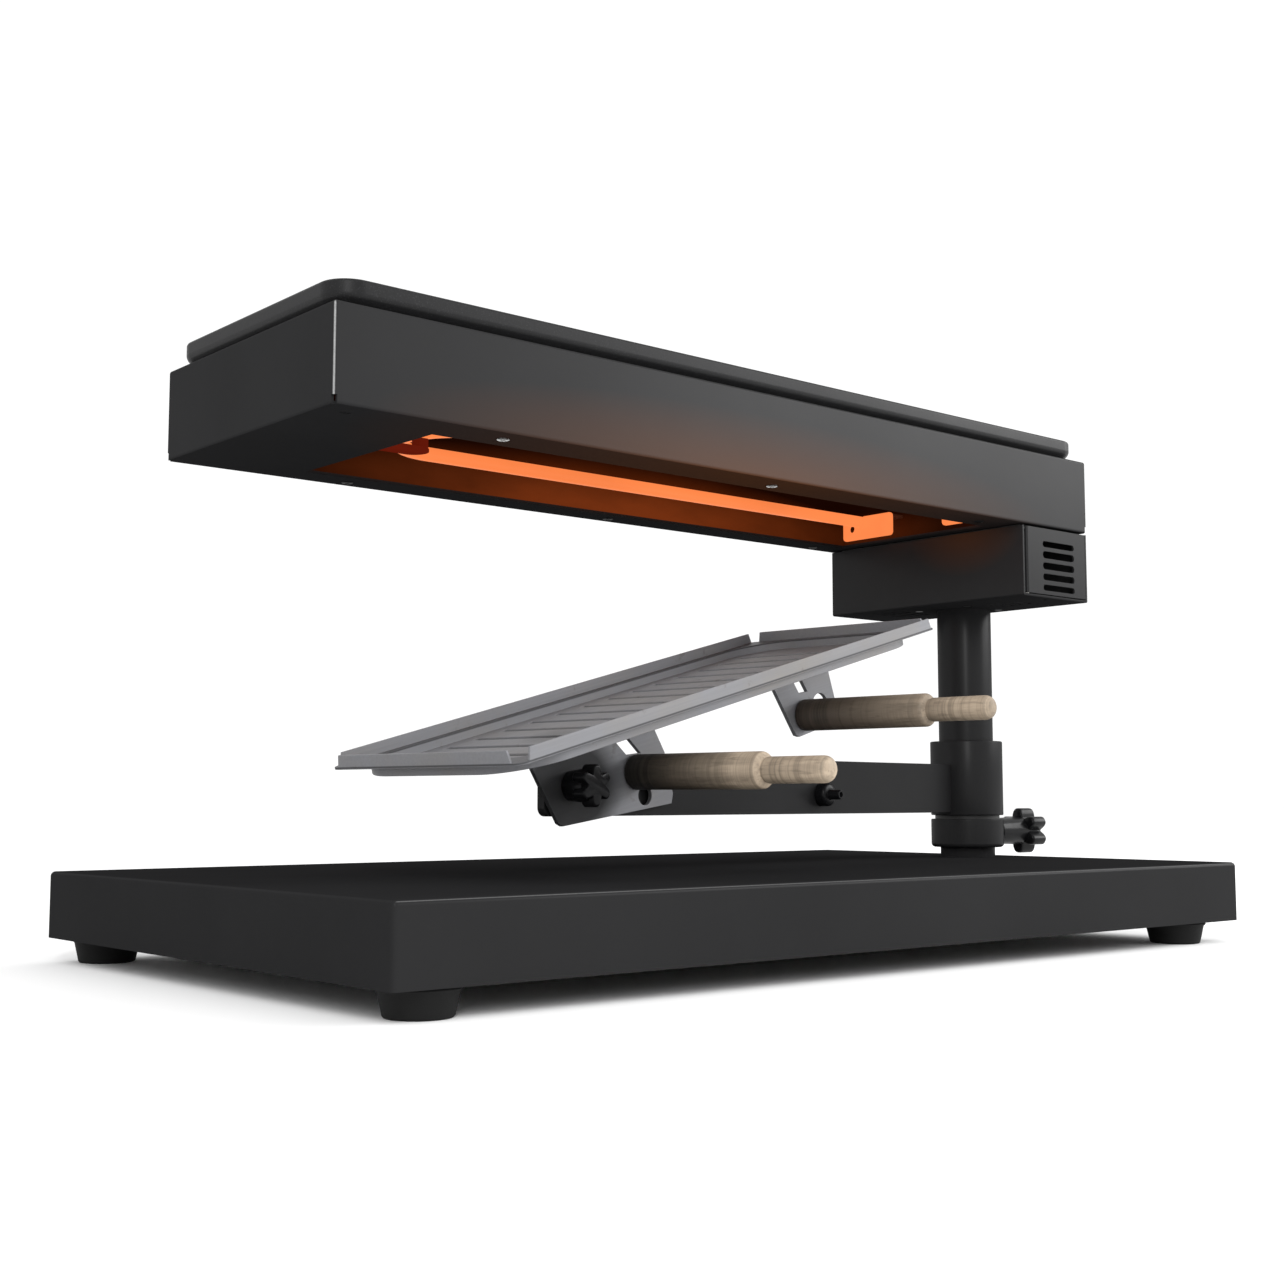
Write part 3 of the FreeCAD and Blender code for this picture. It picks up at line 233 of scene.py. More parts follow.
def powder_coat(name, colour, gloss=1.0, dull=(), warm=None, wear_and_highlight=None):
    """Black oven-baked coat with fine grain and wiped patches.

    Dull lists faces with less sheen: the axis, the face, where full sheen starts and the share that is left.
    Warm is the place and reach of a painted glow, a brown cast of the heater's light, and the last
    argument names the two faces whose shared edge gets a painted highlight, a thin lighter line.
    """
    finish = Finish(name, Specular_IOR_Level=0.0, Coat_Roughness=0.3)
    here = finish.place()
    grain = finish.noise(here, 1500.0, 2.0)
    peel = finish.noise(here, 420.0, 2.0)
    wiped = finish.noise(finish.place(stretch=(1.0, 1.6, 1.0)), 9.0, 5.0, 0.6)
    coat = finish.blend(wiped, shade(colour, 0.86), shade(colour, 1.16))
    sheen = (0.2 + wiped * 0.06) * gloss
    for axis, face, start, share in dull:
        sheen = sheen * finish.ramp(finish.part_of(here, axis), face, start, share)
    # Painted glow: the heater's warm light painted into the coat round one place.
    if warm is not None:
        coat = finish.blend(finish.spot(*warm), coat, (0.058, 0.025, 0.013))
    # Painted highlight: a thin lighter grey line along the edge where the two faces meet, broken up by the
    # grain.
    if wear_and_highlight is not None:
        edge = finish.near(here, *wear_and_highlight[0]) * finish.near(here, *wear_and_highlight[1])
        coat = finish.blend(edge * (0.5 + grain * 0.6), coat, (0.4, 0.4, 0.4))
    finish.use("Base Color", coat)
    finish.use("Coat Weight", sheen)
    finish.use("Roughness", 0.5 + wiped * 0.08 + grain * 0.06)
    finish.bump(peel * 0.7 + grain * 0.3, 0.22, 0.00012)
    return finish.material


def griddle_coat(name, colour):
    """Non-stick coat with a fine speckle, worn a little smoother in wide patches."""
    finish = Finish(name, Specular_IOR_Level=0.14)
    here = finish.place()
    speckle = finish.ramp(finish.noise(here, 2600.0, 1.0), 0.62, 0.72)
    wear_and_highlight = finish.noise(here, 14.0, 4.0, 0.6)
    finish.use("Base Color", finish.blend(speckle, colour, shade(colour, 2.6)))
    finish.use("Roughness", 0.34 + wear_and_highlight * 0.16 + speckle * 0.1)
    finish.bump(finish.noise(here, 700.0, 3.0), 0.18, 0.00015)
    return finish.material


def satin_steel(name, colour, turn, warm, shadow_place, shadow_reach, shade_line_height):
    """Stainless sheet dulled by heat, with ground lines, cooked-on spots, a painted shadow and a painted
    shade line.

    The painted shadow darkens the sheet round one place. The painted shade line runs along the sheet at a
    height above that place, which is measured in the sheet's own frame.
    """
    finish = Finish(name, Metallic=0.22, Specular_IOR_Level=0.15)
    along = finish.place(stretch=(14.0, 900.0, 900.0), turn=turn)
    here = finish.place()
    lines = finish.noise(along, 1.0, 3.0, 0.7)
    cloud = finish.noise(here, 16.0, 4.0, 0.6)
    spots = finish.ramp(finish.noise(here, 130.0, 3.0, 0.6), 0.66, 0.74)
    # Painted shadow: the sheet darkened round one place, with a cloudy edge.
    painted_shadow = finish.ramp(finish.spot(shadow_place, shadow_reach) + cloud * 0.3, 0.25, 0.6)
    height = finish.part_of(finish.place(turn=turn, centre=shadow_place), 2)
    off_shade_line = finish.add("ShaderNodeMath", {"operation": "ABSOLUTE"}, [height - shade_line_height])
    clean = finish.blend(finish.ramp(cloud, 0.45, 0.8), colour, warm)
    lined = finish.blend(lines, clean, shade(colour, 0.78))
    stained = finish.blend(spots * 0.35, lined, shade(warm, 0.4))
    # Painted shade: a dark line along the sheet at one height in its own frame.
    shade_lined = finish.blend(finish.ramp(off_shade_line, 0.5 * MM, 0.2 * MM) * 0.8, stained, shade(colour, 0.12))
    finish.use("Base Color", finish.blend(painted_shadow * 0.92, shade_lined, shade(colour, 0.1)))
    finish.use("Roughness", 0.4 + lines * 0.14 + cloud * 0.08 + spots * 0.12)
    finish.bump(lines, 0.12, 0.00006)
    return finish.material


def plated_steel(name, colour):
    """Bright metal with a fine mottle, for zinc plate and for bare bronze."""
    finish = Finish(name, Metallic=1.0)
    here = finish.place()
    mottle = finish.noise(here, 240.0, 3.0, 0.6)
    finish.use("Base Color", finish.blend(mottle, shade(colour, 0.8), colour))
    finish.use("Roughness", 0.24 + mottle * 0.2)
    finish.bump(mottle, 0.08, 0.00005)
    return finish.material


def heat_tinted_steel(name, colour, hot, centre, reach):
    """Reflector sheet, rust-brown, with painted light and a painted glow of hot colour round one place; dark
    elsewhere.
    """
    finish = Finish(name, Specular_IOR_Level=0.0)
    here = finish.place()
    # Painted light: the heater's light falls on the sheet as a lighter colour and a soft glow round one
    # place.
    lit = finish.spot(centre, reach)
    mottle = finish.noise(finish.place(stretch=(0.4, 1.0, 1.0)), 42.0, 5.0, 0.65)
    finish.use("Base Color", finish.blend(mottle * 0.3 + lit * 0.7, shade(colour, 0.14), colour))
    finish.use("Roughness", 0.5 + mottle * 0.2)
    finish.use("Emission Color", finish.blend(lit * (0.4 + mottle * 1.2), shade(hot, 0.04), hot))
    finish.shader.inputs["Emission Strength"].default_value = 0.14
    finish.bump(mottle, 0.1, 0.0002)
    return finish.material


def glowing_steel(name, colour, strength, cold_x=1.0):
    """Sheath of the heating tube at full heat, a shade paler in places, and dark beyond its cold end."""
    finish = Finish(name, Roughness=0.5, Specular_IOR_Level=0.1)
    heat = finish.noise(finish.place(stretch=(0.3, 1.0, 1.0)), 60.0, 2.0)
    finish.use("Base Color", finish.blend(heat, shade(colour, 0.05), shade(colour, 0.1)))
    lit = finish.blend(finish.ramp(heat, 0.3, 0.7), shade(colour, 0.88), colour)
    cold = finish.ramp(finish.part_of(finish.place(), 0), cold_x, cold_x + 0.002)
    finish.use("Emission Color", finish.blend(cold, lit, (0.015, 0.005, 0.003)))
    finish.shader.inputs["Emission Strength"].default_value = strength
    return finish.material


def bakelite(name, colour):
    """Hard black plastic, shiny where it isn't handled."""
    finish = Finish(name, Specular_IOR_Level=0.06, Coat_Roughness=0.13)
    here = finish.place()
    handled = finish.noise(here, 90.0, 4.0, 0.6)
    finish.use("Base Color", finish.blend(handled, colour, shade(colour, 1.6)))
    finish.use("Roughness", 0.3 + handled * 0.16)
    finish.use("Coat Weight", 0.16 - handled * 0.12)
    finish.bump(finish.noise(here, 520.0, 2.0), 0.06, 0.0001)
    return finish.material


def matt_plastic(name, colour):
    """Dull plastic or pressed fibre with a fine texture."""
    finish = Finish(name, Specular_IOR_Level=0.4)
    here = finish.place()
    texture = finish.noise(here, 1300.0, 2.0)
    clouds = finish.noise(here, 40.0, 3.0)
    finish.use("Base Color", finish.blend(clouds, shade(colour, 0.85), shade(colour, 1.2)))
    finish.use("Roughness", 0.5 + texture * 0.15)
    finish.bump(texture, 0.2, 0.00012)
    return finish.material


def moulded_rubber(name, colour):
    """Black rubber with a pale bloom in places."""
    finish = Finish(name, Specular_IOR_Level=0.12)
    here = finish.place()
    bloom = finish.noise(here, 70.0, 4.0, 0.6)
    finish.use("Base Color", finish.blend(bloom, colour, shade(colour, 1.7)))
    finish.use("Roughness", 0.62 + bloom * 0.2)
    finish.bump(finish.noise(here, 900.0, 2.0), 0.25, 0.00015)
    return finish.material


def turned_beech(name, colour, turn, centre, shade_colour, full_shade_at, shade_gone_at):
    """Beech turned on a lathe: long grain, dark flecks, tool rings and painted shade darkening the inner end.
    """
    finish = Finish(name, Specular_IOR_Level=0.3)
    long_way = finish.place(stretch=(330.0, 26.0, 330.0), turn=turn, centre=centre)
    flecks_place = finish.place(stretch=(900.0, 110.0, 900.0), turn=turn, centre=centre)
    rings_place = finish.place(stretch=(14.0, 620.0, 14.0), turn=turn, centre=centre)
    along = finish.part_of(finish.place(turn=turn, centre=centre), 1)
    grain = finish.noise(long_way, 1.0, 4.0, 0.6)
    flecks = finish.ramp(finish.noise(flecks_place, 1.0, 2.0, 0.5), 0.56, 0.68)
    rings = finish.noise(rings_place, 1.0, 2.0, 0.6)
    wood = finish.blend(finish.ramp(grain, 0.35, 0.68), shade(colour, 0.8), shade(colour, 1.12))
    flecked = finish.blend(flecks * 0.45, wood, shade(colour, 0.42))
    ringed = finish.blend(finish.ramp(rings, 0.46, 0.62) * 0.5, flecked, shade(colour, 0.34))
    # Painted shade: the wood darkens towards the inner end, under the tray, with rings and grain in its edge.
    painted_shade = finish.ramp(along + rings * 0.014 + grain * 0.008, shade_gone_at, full_shade_at)
    tool_marks = finish.blend(finish.ramp(rings, 0.4, 0.6), shade_colour, shade(shade_colour, 1.9))
    finish.use("Base Color", finish.blend(painted_shade ** 0.45, ringed, tool_marks))
    finish.use("Roughness", 0.55 + grain * 0.14)
    finish.bump(grain * 0.4 + rings * 0.4 - flecks * 0.4, 0.25, 0.0002)
    return finish.material


def steatite(name, colour):
    """Pale glazed ceramic."""
    finish = Finish(name)
    cloud = finish.noise(finish.place(), 180.0, 3.0)
    finish.use("Base Color", finish.blend(cloud, shade(colour, 0.85), colour))
    finish.use("Roughness", 0.4 + cloud * 0.2)
    return finish.material


def braided_sleeve(name, colour):
    """Glass braid: two crossing sets of fine diagonal threads."""
    finish = Finish(name, Specular_IOR_Level=0.3)
    here = finish.place()
    across = (finish.part_of(here, 0) + finish.part_of(here, 1)) * 3600.0
    upward = finish.part_of(here, 2) * 3600.0
    first = finish.add("ShaderNodeMath", {"operation": "SINE"}, [across + upward])
    second = finish.add("ShaderNodeMath", {"operation": "SINE"}, [across - upward])
    weave = first * second * 0.5 + 0.5
    finish.use("Base Color", finish.blend(weave, shade(colour, 0.6), colour))
    finish.use("Roughness", 0.7 + weave * 0.1)
    finish.bump(weave, 0.3, 0.0002)
    return finish.material


def studio_paper(name, colour):
    """Nearly even white paper for the floor."""
    finish = Finish(name, Specular_IOR_Level=0.1)
    fibre = finish.noise(finish.place(), 30.0, 3.0)
    finish.use("Base Color", finish.blend(fibre, shade(colour, 0.99), colour))
    finish.use("Roughness", 0.8 + fibre * 0.1)
    return finish.material


# Modelling helpers

def deselect_all():
    """Leaves edit mode and selects nothing."""
    if bpy.context.object is not None and bpy.context.object.mode != "OBJECT":
        bpy.ops.object.mode_set(mode="OBJECT")
    bpy.ops.object.select_all(action="DESELECT")


def pick(obj):
    """Selects one object alone and makes it the active one."""
    deselect_all()
    obj.hide_set(False)
    obj.select_set(True)
    bpy.context.view_layer.objects.active = obj


def edit(obj):
    """Picks an object and enters edit mode."""
    pick(obj)
    bpy.ops.object.mode_set(mode="EDIT")


def choose(obj, kind, wanted):
    """In edit mode, selects just the faces, edges or vertices that are wanted, and says how many."""
    mesh = bmesh.from_edit_mesh(obj.data)
    bpy.ops.mesh.select_mode(type={"faces": "FACE", "edges": "EDGE", "verts": "VERT"}[kind])
    bpy.ops.mesh.select_all(action="DESELECT")
    found = [part for part in getattr(mesh, kind) if wanted(part)]
    for part in found:
        part.select_set(True)
    mesh.select_flush_mode()
    bmesh.update_edit_mesh(obj.data)
    return len(found)


def apply_modifier(obj, kind, **settings):
    """Adds a modifier with its settings and applies it at once."""
    pick(obj)
    modifier = obj.modifiers.new(kind.title(), kind)
    for key, value in settings.items():
        setattr(modifier, key, value)
    bpy.ops.object.modifier_apply(modifier=modifier.name)


def shade_softly(obj, angle=35.0):
    """Smooth shading across edges that are flatter than an angle."""
    pick(obj)
    bpy.ops.object.shade_smooth_by_angle(angle=math.radians(angle))


def settle(obj, matrix):
    """Moves a finished piece to its place and puts that place into its mesh."""
    pick(obj)
    obj.matrix_world = matrix
    bpy.ops.object.transform_apply(location=True, rotation=True, scale=True)


def soften_edges(obj, width, segments=3, angle=30.0):
    """Rounds every edge that is sharper than an angle."""
    apply_modifier(obj, "BEVEL", width=width, segments=segments, limit_method="ANGLE",
                   angle_limit=math.radians(angle), harden_normals=False)


def finish_piece(obj, node, material):
    """Gives the piece its material, hangs it on the node's body and lets it stand for the node."""
    obj.data.materials.clear()
    obj.data.materials.append(material)
    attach(obj, BODY_OF[node])
    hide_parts(node)
    return obj


def cover_node(node, material, width, segments=3, angle=30.0):
    """Copy of a frame node with its facets merged and its edges rounded."""
    pick(NODES[node])
    bpy.ops.object.duplicate()
    piece = bpy.context.object
    piece.name = node + "_finished"
    piece.data.name = piece.name
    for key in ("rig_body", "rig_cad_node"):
        del piece[key]
    piece.parent = None
    edit(piece)
    bpy.ops.mesh.select_all(action="SELECT")
    bpy.ops.mesh.customdata_custom_splitnormals_clear()
    bpy.ops.mesh.remove_doubles(threshold=0.000002)
    bpy.ops.mesh.dissolve_limited(angle_limit=math.radians(0.6), delimit=set())
    bpy.ops.object.mode_set(mode="OBJECT")
    if width > 0:
        soften_edges(piece, width, segments, angle)
    shade_softly(piece)
    apply_modifier(piece, "WEIGHTED_NORMAL", keep_sharp=True, weight=90)
    return finish_piece(piece, node, material)


def turn_piece(name, rings, sides=64, hollow=False, lobes=0, valley=1.0):
    """Turned piece on the Z axis: a disc, or an open circle for a hollow ring, is extruded from ring to ring.

    Each ring is a radius and a height. With lobes, the circle's points are first pulled in between them.
    """
    deselect_all()
    radius, height = rings[0]
    fill = "NOTHING" if hollow else "NGON"
    bpy.ops.mesh.primitive_circle_add(vertices=sides, radius=radius, fill_type=fill, location=(0, 0, 0))
    piece = bpy.context.object
    piece.name = name
    piece.data.name = name
    bpy.ops.object.mode_set(mode="EDIT")
    if lobes:
        pull_lobes(piece, sides // lobes, valley)
    bpy.ops.mesh.select_mode(type="EDGE" if hollow else "FACE")
    bpy.ops.mesh.select_all(action="SELECT")
    bpy.ops.transform.translate(value=(0, 0, height))
    for next_radius, next_height in rings[1:] + (rings[:1] if hollow else []):
        bpy.ops.mesh.extrude_region_move(TRANSFORM_OT_translate={"value": (0, 0, next_height - height)})
        factor = next_radius / radius
        bpy.ops.transform.resize(value=(factor, factor, 1), center_override=(0, 0, next_height))
        radius, height = next_radius, next_height
    bpy.ops.mesh.select_all(action="SELECT")
    bpy.ops.mesh.remove_doubles(threshold=0.000001)
    bpy.ops.mesh.normals_make_consistent(inside=False)
    bpy.ops.object.mode_set(mode="OBJECT")
    return piece


def pull_lobes(piece, steps, valley):
    """Pulls a circle's points in: steps points make one lobe, and valley is the lowest radius's share."""
    for step in range(1, steps // 2 + 1):
        off_top = abs(math.sin(math.pi * step / steps))
        factor = 1 - (1 - valley) * off_top ** 3.4
        choose(piece, "verts", lambda v: v.index % steps in (step, steps - step))
        bpy.ops.transform.resize(value=(factor, factor, 1), center_override=(0, 0, 0))


def blend_in(piece, other):
    """Joins another piece's mesh to this one."""
    pick(piece)
    other.select_set(True)
    bpy.ops.object.join()


def copy_piece(piece, name):
    """Copy of a piece with its own mesh."""
    pick(piece)
    bpy.ops.object.duplicate()
    twin = bpy.context.object
    twin.name = name
    twin.data.name = name
    return twin


def round_rings(radius, height, bend, start, end, steps=5):
    """Rings along a quarter round: the bend's centre ring, its own radius, and the turn in degrees."""
    rings = []
    for i in range(steps + 1):
        turn = math.radians(start + (end - start) * i / steps)
        rings.append((radius + bend * math.cos(turn), height + bend * math.sin(turn)))
    return rings


def facing(origin, direction):
    """Matrix that takes the Z axis to a direction and the origin to a point."""
    return Matrix.Translation(origin) @ Vector(direction).to_track_quat("Z", "Y").to_matrix().to_4x4()


def subtract(piece, cutter):
    """Cuts one object out of another and removes it."""
    apply_modifier(piece, "BOOLEAN", operation="DIFFERENCE", object=cutter, solver="EXACT")
    bpy.data.objects.remove(cutter, do_unlink=True)


def cross_head(piece, size, depth, top):
    """Cuts a cross recess into a screw's head."""
    for turn in (0.0, math.pi / 2):
        cutter = bar_cutter(size * 0.24, size, depth * 2, turn)
        settle(cutter, Matrix.Translation((0, 0, top)))
        subtract(piece, cutter)


def bar_cutter(width, length, depth, turn):
    """Block used to cut a slot into a screw's head."""
    deselect_all()
    bpy.ops.mesh.primitive_cube_add(
        size=1, location=(0, 0, 0), rotation=(0, 0, turn), scale=(length, width, depth))
    cutter = bpy.context.object
    bpy.ops.object.transform_apply(location=True, rotation=True, scale=True)
    return cutter


# Sizes and colours a user would change

class RacletteFinish(bpy.types.PropertyGroup):
    """Colours of the grill"""
    coat: bpy.props.FloatVectorProperty(
        name="Coat", description="Colour of the powder coat", subtype="COLOR", size=3, min=0, max=1,
        default=(0.017, 0.017, 0.0176))
    griddle: bpy.props.FloatVectorProperty(
        name="Griddle", description="Colour of the griddle's coat", subtype="COLOR", size=3, min=0, max=1,
        default=(0.011, 0.011, 0.0115))
    plastic: bpy.props.FloatVectorProperty(
        name="Knobs", description="Colour of the knobs", subtype="COLOR", size=3, min=0, max=1,
        default=(0.0045, 0.0045, 0.005))
    steel: bpy.props.FloatVectorProperty(
        name="Steel", description="Colour of the stainless sheet", subtype="COLOR", size=3, min=0, max=1,
        default=(0.215, 0.217, 0.23))
    wood: bpy.props.FloatVectorProperty(
        name="Wood", description="Colour of the handles", subtype="COLOR", size=3, min=0, max=1,
        default=(0.40, 0.32, 0.236))
    glow: bpy.props.FloatVectorProperty(
        name="Glow", description="Colour of the hot element", subtype="COLOR", size=3, min=0, max=1,
        default=(1.0, 0.245, 0.07))
    glow_strength: bpy.props.FloatProperty(
        name="Glow strength", description="How brightly the element shines", min=0, max=20, default=1.05)


class RacletteShape(bpy.types.PropertyGroup):
    """Sizes of its visible details"""
    edge: bpy.props.FloatProperty(
        name="Sheet edge", description="Rounding of the cut edges of sheet parts", unit="LENGTH", min=0,
        max=0.001, default=0.00025)
    lobes: bpy.props.IntProperty(
        name="Knob lobes", description="Number of lobes on each clamp knob", min=3, max=12, default=6)
    grip: bpy.props.FloatProperty(
        name="Grip", description="Diameter of the handles' thick part", unit="LENGTH", min=0.008, max=0.0146,
        default=0.0146)
    tip: bpy.props.FloatProperty(
        name="Tip", description="Diameter of the handles' thin end", unit="LENGTH", min=0.004, max=0.0105,
        default=0.0104)


class RacletteStage(bpy.types.PropertyGroup):
    """Floor and light"""
    paper: bpy.props.FloatVectorProperty(
        name="Floor", description="Colour of the floor", subtype="COLOR", size=3, min=0, max=1,
        default=(0.985, 0.985, 0.985))
    surround: bpy.props.FloatProperty(
        name="Surround", description="Strength of the white surround", min=0, max=5, default=1.07)
    key: bpy.props.FloatProperty(
        name="Key light", description="Power of the large soft light at the front right", unit="POWER", min=0,
        max=500, default=42.0)
    rim: bpy.props.FloatProperty(
        name="Edge light", description="Power of the narrow light that draws the edges", unit="POWER", min=0,
        max=500, default=9.0)


FINISHES = {}


def make_finishes(finish):
    """Every material of the grill, made once and looked up by its name."""
    tray_turn = TRAY_FRAME.to_3x3().inverted().to_euler()
    arm_turn = ARM_FRAME.to_3x3().inverted().to_euler()
    pivot = tuple(PIVOT)
    head_middle = (HEAD_LOW + HEAD_HIGH) / 2
    base_low, base_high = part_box("base_shell")
    plate_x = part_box("element_end_plate")[0].x + 1.5 * MM
    FINISHES.update({
        "coat": powder_coat("powder_coat", finish.coat, 0.8),
        "base_coat": powder_coat(
            "base_coat", finish.coat, 0.55,
            ((2, base_high.z - 0.1 * MM, base_high.z - 0.7 * MM, 0.0),
             (0, base_low.x + 0.2 * MM, base_low.x + 1.2 * MM, 0.15)),
            # Painted highlight along the base's front top edge.
            wear_and_highlight=((2, base_high.z, -1), (1, base_low.y, 1))),
        "head_coat": powder_coat(
            "head_coat", finish.coat, 1.0,
            ((2, HEAD_LOW.z + 0.2 * MM, HEAD_LOW.z + 1.2 * MM, 0.0),
             (0, HEAD_LOW.x + 0.2 * MM, HEAD_LOW.x + 1.2 * MM, 0.35)),
            # Painted glow: warm light low on the middle of the head's front.
            ((head_middle.x - 0.01, HEAD_LOW.y, HEAD_LOW.z), (0.195, 0.12, 0.027)),
            # Painted highlight down the head's front left vertical edge.
            ((0, HEAD_LOW.x, 1), (1, HEAD_LOW.y, 1))),
        "neck_coat": powder_coat(
            "neck_coat", finish.coat, 1.0,
            ((2, NECK_LOW.z + 0.2 * MM, NECK_LOW.z + 1.2 * MM, 0.0),),
            # Painted glow: warm light on the upper part of the neck's left face.
            ((NECK_LOW.x, NECK_LOW.y + 0.036, NECK_HIGH.z), (0.02, 0.036, 0.022))),
        "griddle": griddle_coat("griddle_coat", finish.griddle),
        # The tray's steel: painted shadow round the tilt knob's pivot, and a painted shade line 24.4 mm above
        # it in the tray's frame, at the foot of the walls.
        "steel": satin_steel("satin_steel", finish.steel, tray_turn, (0.23, 0.205, 0.17), pivot,
                             (0.034, 0.04, 0.026), 24.4 * MM),
        "plated": plated_steel("plated_steel", (0.5, 0.5, 0.49)),
        "black_screw": powder_coat("blackened_steel", (0.012, 0.012, 0.012)),
        # Painted light and painted glow from the heater on the reflector round its middle, and on the clip.
        "reflector": heat_tinted_steel("heat_tinted_steel", (0.05, 0.018, 0.008), (1.0, 0.155, 0.02),
                                       (head_middle.x + 0.01, HEAD_HIGH.y - 0.02, HEAD_LOW.z + 0.003),
                                       (0.19, 0.12, 0.024)),
        "clip": heat_tinted_steel("dull_clip", (0.012, 0.003, 0.002), (1.0, 0.07, 0.02), tuple(HEAD_LOW),
                                  (0.4, 0.2, 0.2)),
        # Painted glow: the element's front bracket, which is no heater, gets the glowing finish.
        "glow": glowing_steel("glowing_steel", finish.glow, finish.glow_strength),
        "glow_tube": glowing_steel("glowing_tube", finish.glow, finish.glow_strength, plate_x + 0.1 * MM),
        "bakelite": bakelite("bakelite", finish.plastic),
        "nylon": matt_plastic("black_nylon", (0.012, 0.012, 0.012)),
        "fibre": matt_plastic("dark_fibre", (0.02, 0.018, 0.017)),
        "rubber": moulded_rubber("moulded_rubber", (0.007, 0.007, 0.007)),
        # Painted shade on the handles' inner ends, darker on the left handle than on the right.
        "beech_left": turned_beech("scorched_beech", finish.wood, arm_turn, pivot, (0.014, 0.012, 0.01),
                                   0.018, 0.068),
        "beech_right": turned_beech("turned_beech", finish.wood, arm_turn, pivot, (0.04, 0.031, 0.024),
                                    0.016, 0.088),
        "ceramic": steatite("steatite", (0.75, 0.72, 0.66)),
        "bronze": plated_steel("sintered_bronze", (0.5, 0.3, 0.13)),
        "braid": braided_sleeve("braided_sleeve", (0.5, 0.48, 0.42)),
    })


def dress_node(node, finish):
    """A frame node that is shown as it is, in a better material."""
    materials = NODES[node].data.materials
    materials.clear()
    materials.append(FINISHES[finish])


class RACLETTE_OT_base(bpy.types.Operator):
    """Folded base shell and its bottom plate"""
    bl_idname = "raclette.base"
    bl_label = "Base"

    def execute(self, context):
        edge = context.scene.raclette_shape.edge
        cover_node("base_shell", FINISHES["base_coat"], 2 * edge)
        cover_node("base_bottom_plate", FINISHES["base_coat"], edge)
        return {"FINISHED"}


class RACLETTE_OT_feet(bpy.types.Operator):
    """Four tapered rubber feet with a rounded rim and a screw recess"""
    bl_idname = "raclette.feet"
    bl_label = "Feet"

    def execute(self, context):
        for place in ("front_left", "front_right", "back_left", "back_right"):
            node = "foot_" + place
            low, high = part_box(node)
            top_r = (high.x - low.x) / 2
            foot_r = top_r - 2.5 * MM
            recess_r = 5.5 * MM
            recess = 6.0 * MM
            low_bend = 1.2 * MM
            top_bend = 0.9 * MM
            screw_r = 3.0 * MM
            height = high.z - low.z
            rings = [(recess_r * 0.5, recess), (recess_r, recess), (recess_r, 0.6 * MM)]
            rings += [(recess_r + 0.5 * MM, 0.0)]
            rings += round_rings(foot_r - low_bend, low_bend, low_bend, -90, 0, 4)
            rings += [(top_r - top_bend, height - 2 * top_bend)]
            rings += round_rings(top_r - top_bend, height - top_bend, top_bend, 0, 90, 4)
            rings += [(screw_r, height)]
            piece = turn_piece(node + "_moulded", rings)
            shade_softly(piece)
            settle(piece, Matrix.Translation(((low.x + high.x) / 2, (low.y + high.y) / 2, low.z)))
            finish_piece(piece, node, FINISHES["rubber"])
        return {"FINISHED"}


class RACLETTE_OT_column(bpy.types.Operator):
    """Column tube, and the plates and nuts that hold it"""
    bl_idname = "raclette.column"
    bl_label = "Column"

    def execute(self, context):
        outer = (COLUMN_HIGH.x - COLUMN_LOW.x) / 2
        inner = outer - COLUMN_WALL
        low, high = COLUMN_LOW.z, COLUMN_HIGH.z
        walls = [(outer, low), (outer, high), (inner, high), (inner, low)]
        tube = turn_piece("column_drawn", walls, 96, True)
        soften_edges(tube, 0.3 * MM)
        shade_softly(tube)
        settle(tube, Matrix.Translation((COLUMN_AXIS.x, COLUMN_AXIS.y, 0)))
        finish_piece(tube, "column_tube", FINISHES["coat"])
        dress_node("column_mount_plate", "plated")
        dress_node("column_nuts", "plated")
        dress_node("neck_mount_plate", "plated")
        return {"FINISHED"}


class RACLETTE_OT_neck(bpy.types.Operator):
    """Neck housing with its slotted front panel, back panel and gasket"""
    bl_idname = "raclette.neck"
    bl_label = "Neck"

    def execute(self, context):
        edge = context.scene.raclette_shape.edge
        for node in ("neck_housing", "neck_front_panel", "neck_back_panel"):
            cover_node(node, FINISHES["neck_coat"], edge)
        dress_node("neck_gasket", "fibre")
        return {"FINISHED"}


class RACLETTE_OT_electrics(bpy.types.Operator):
    """Switch, gland, terminal block, leads and thermal cut-out"""
    bl_idname = "raclette.electrics"
    bl_label = "Electrics"

    def execute(self, context):
        cover_node("switch_frame", FINISHES["nylon"], 0.35 * MM)
        cover_node("switch_rocker", FINISHES["bakelite"], 0.4 * MM)
        cover_node("cable_gland", FINISHES["nylon"], 0.3 * MM)
        dress_node("terminal_block", "ceramic")
        dress_node("lead_wires", "braid")
        dress_node("thermal_cutout", "ceramic")
        return {"FINISHED"}


class RACLETTE_OT_head(bpy.types.Operator):
    """Head shell, the reflector and the griddle's spacers"""
    bl_idname = "raclette.head"
    bl_label = "Head"

    def execute(self, context):
        edge = context.scene.raclette_shape.edge
        cover_node("head_shell", FINISHES["head_coat"], 1.6 * edge)
        cover_node("reflector", FINISHES["reflector"], edge)
        dress_node("griddle_spacers", "fibre")
        return {"FINISHED"}


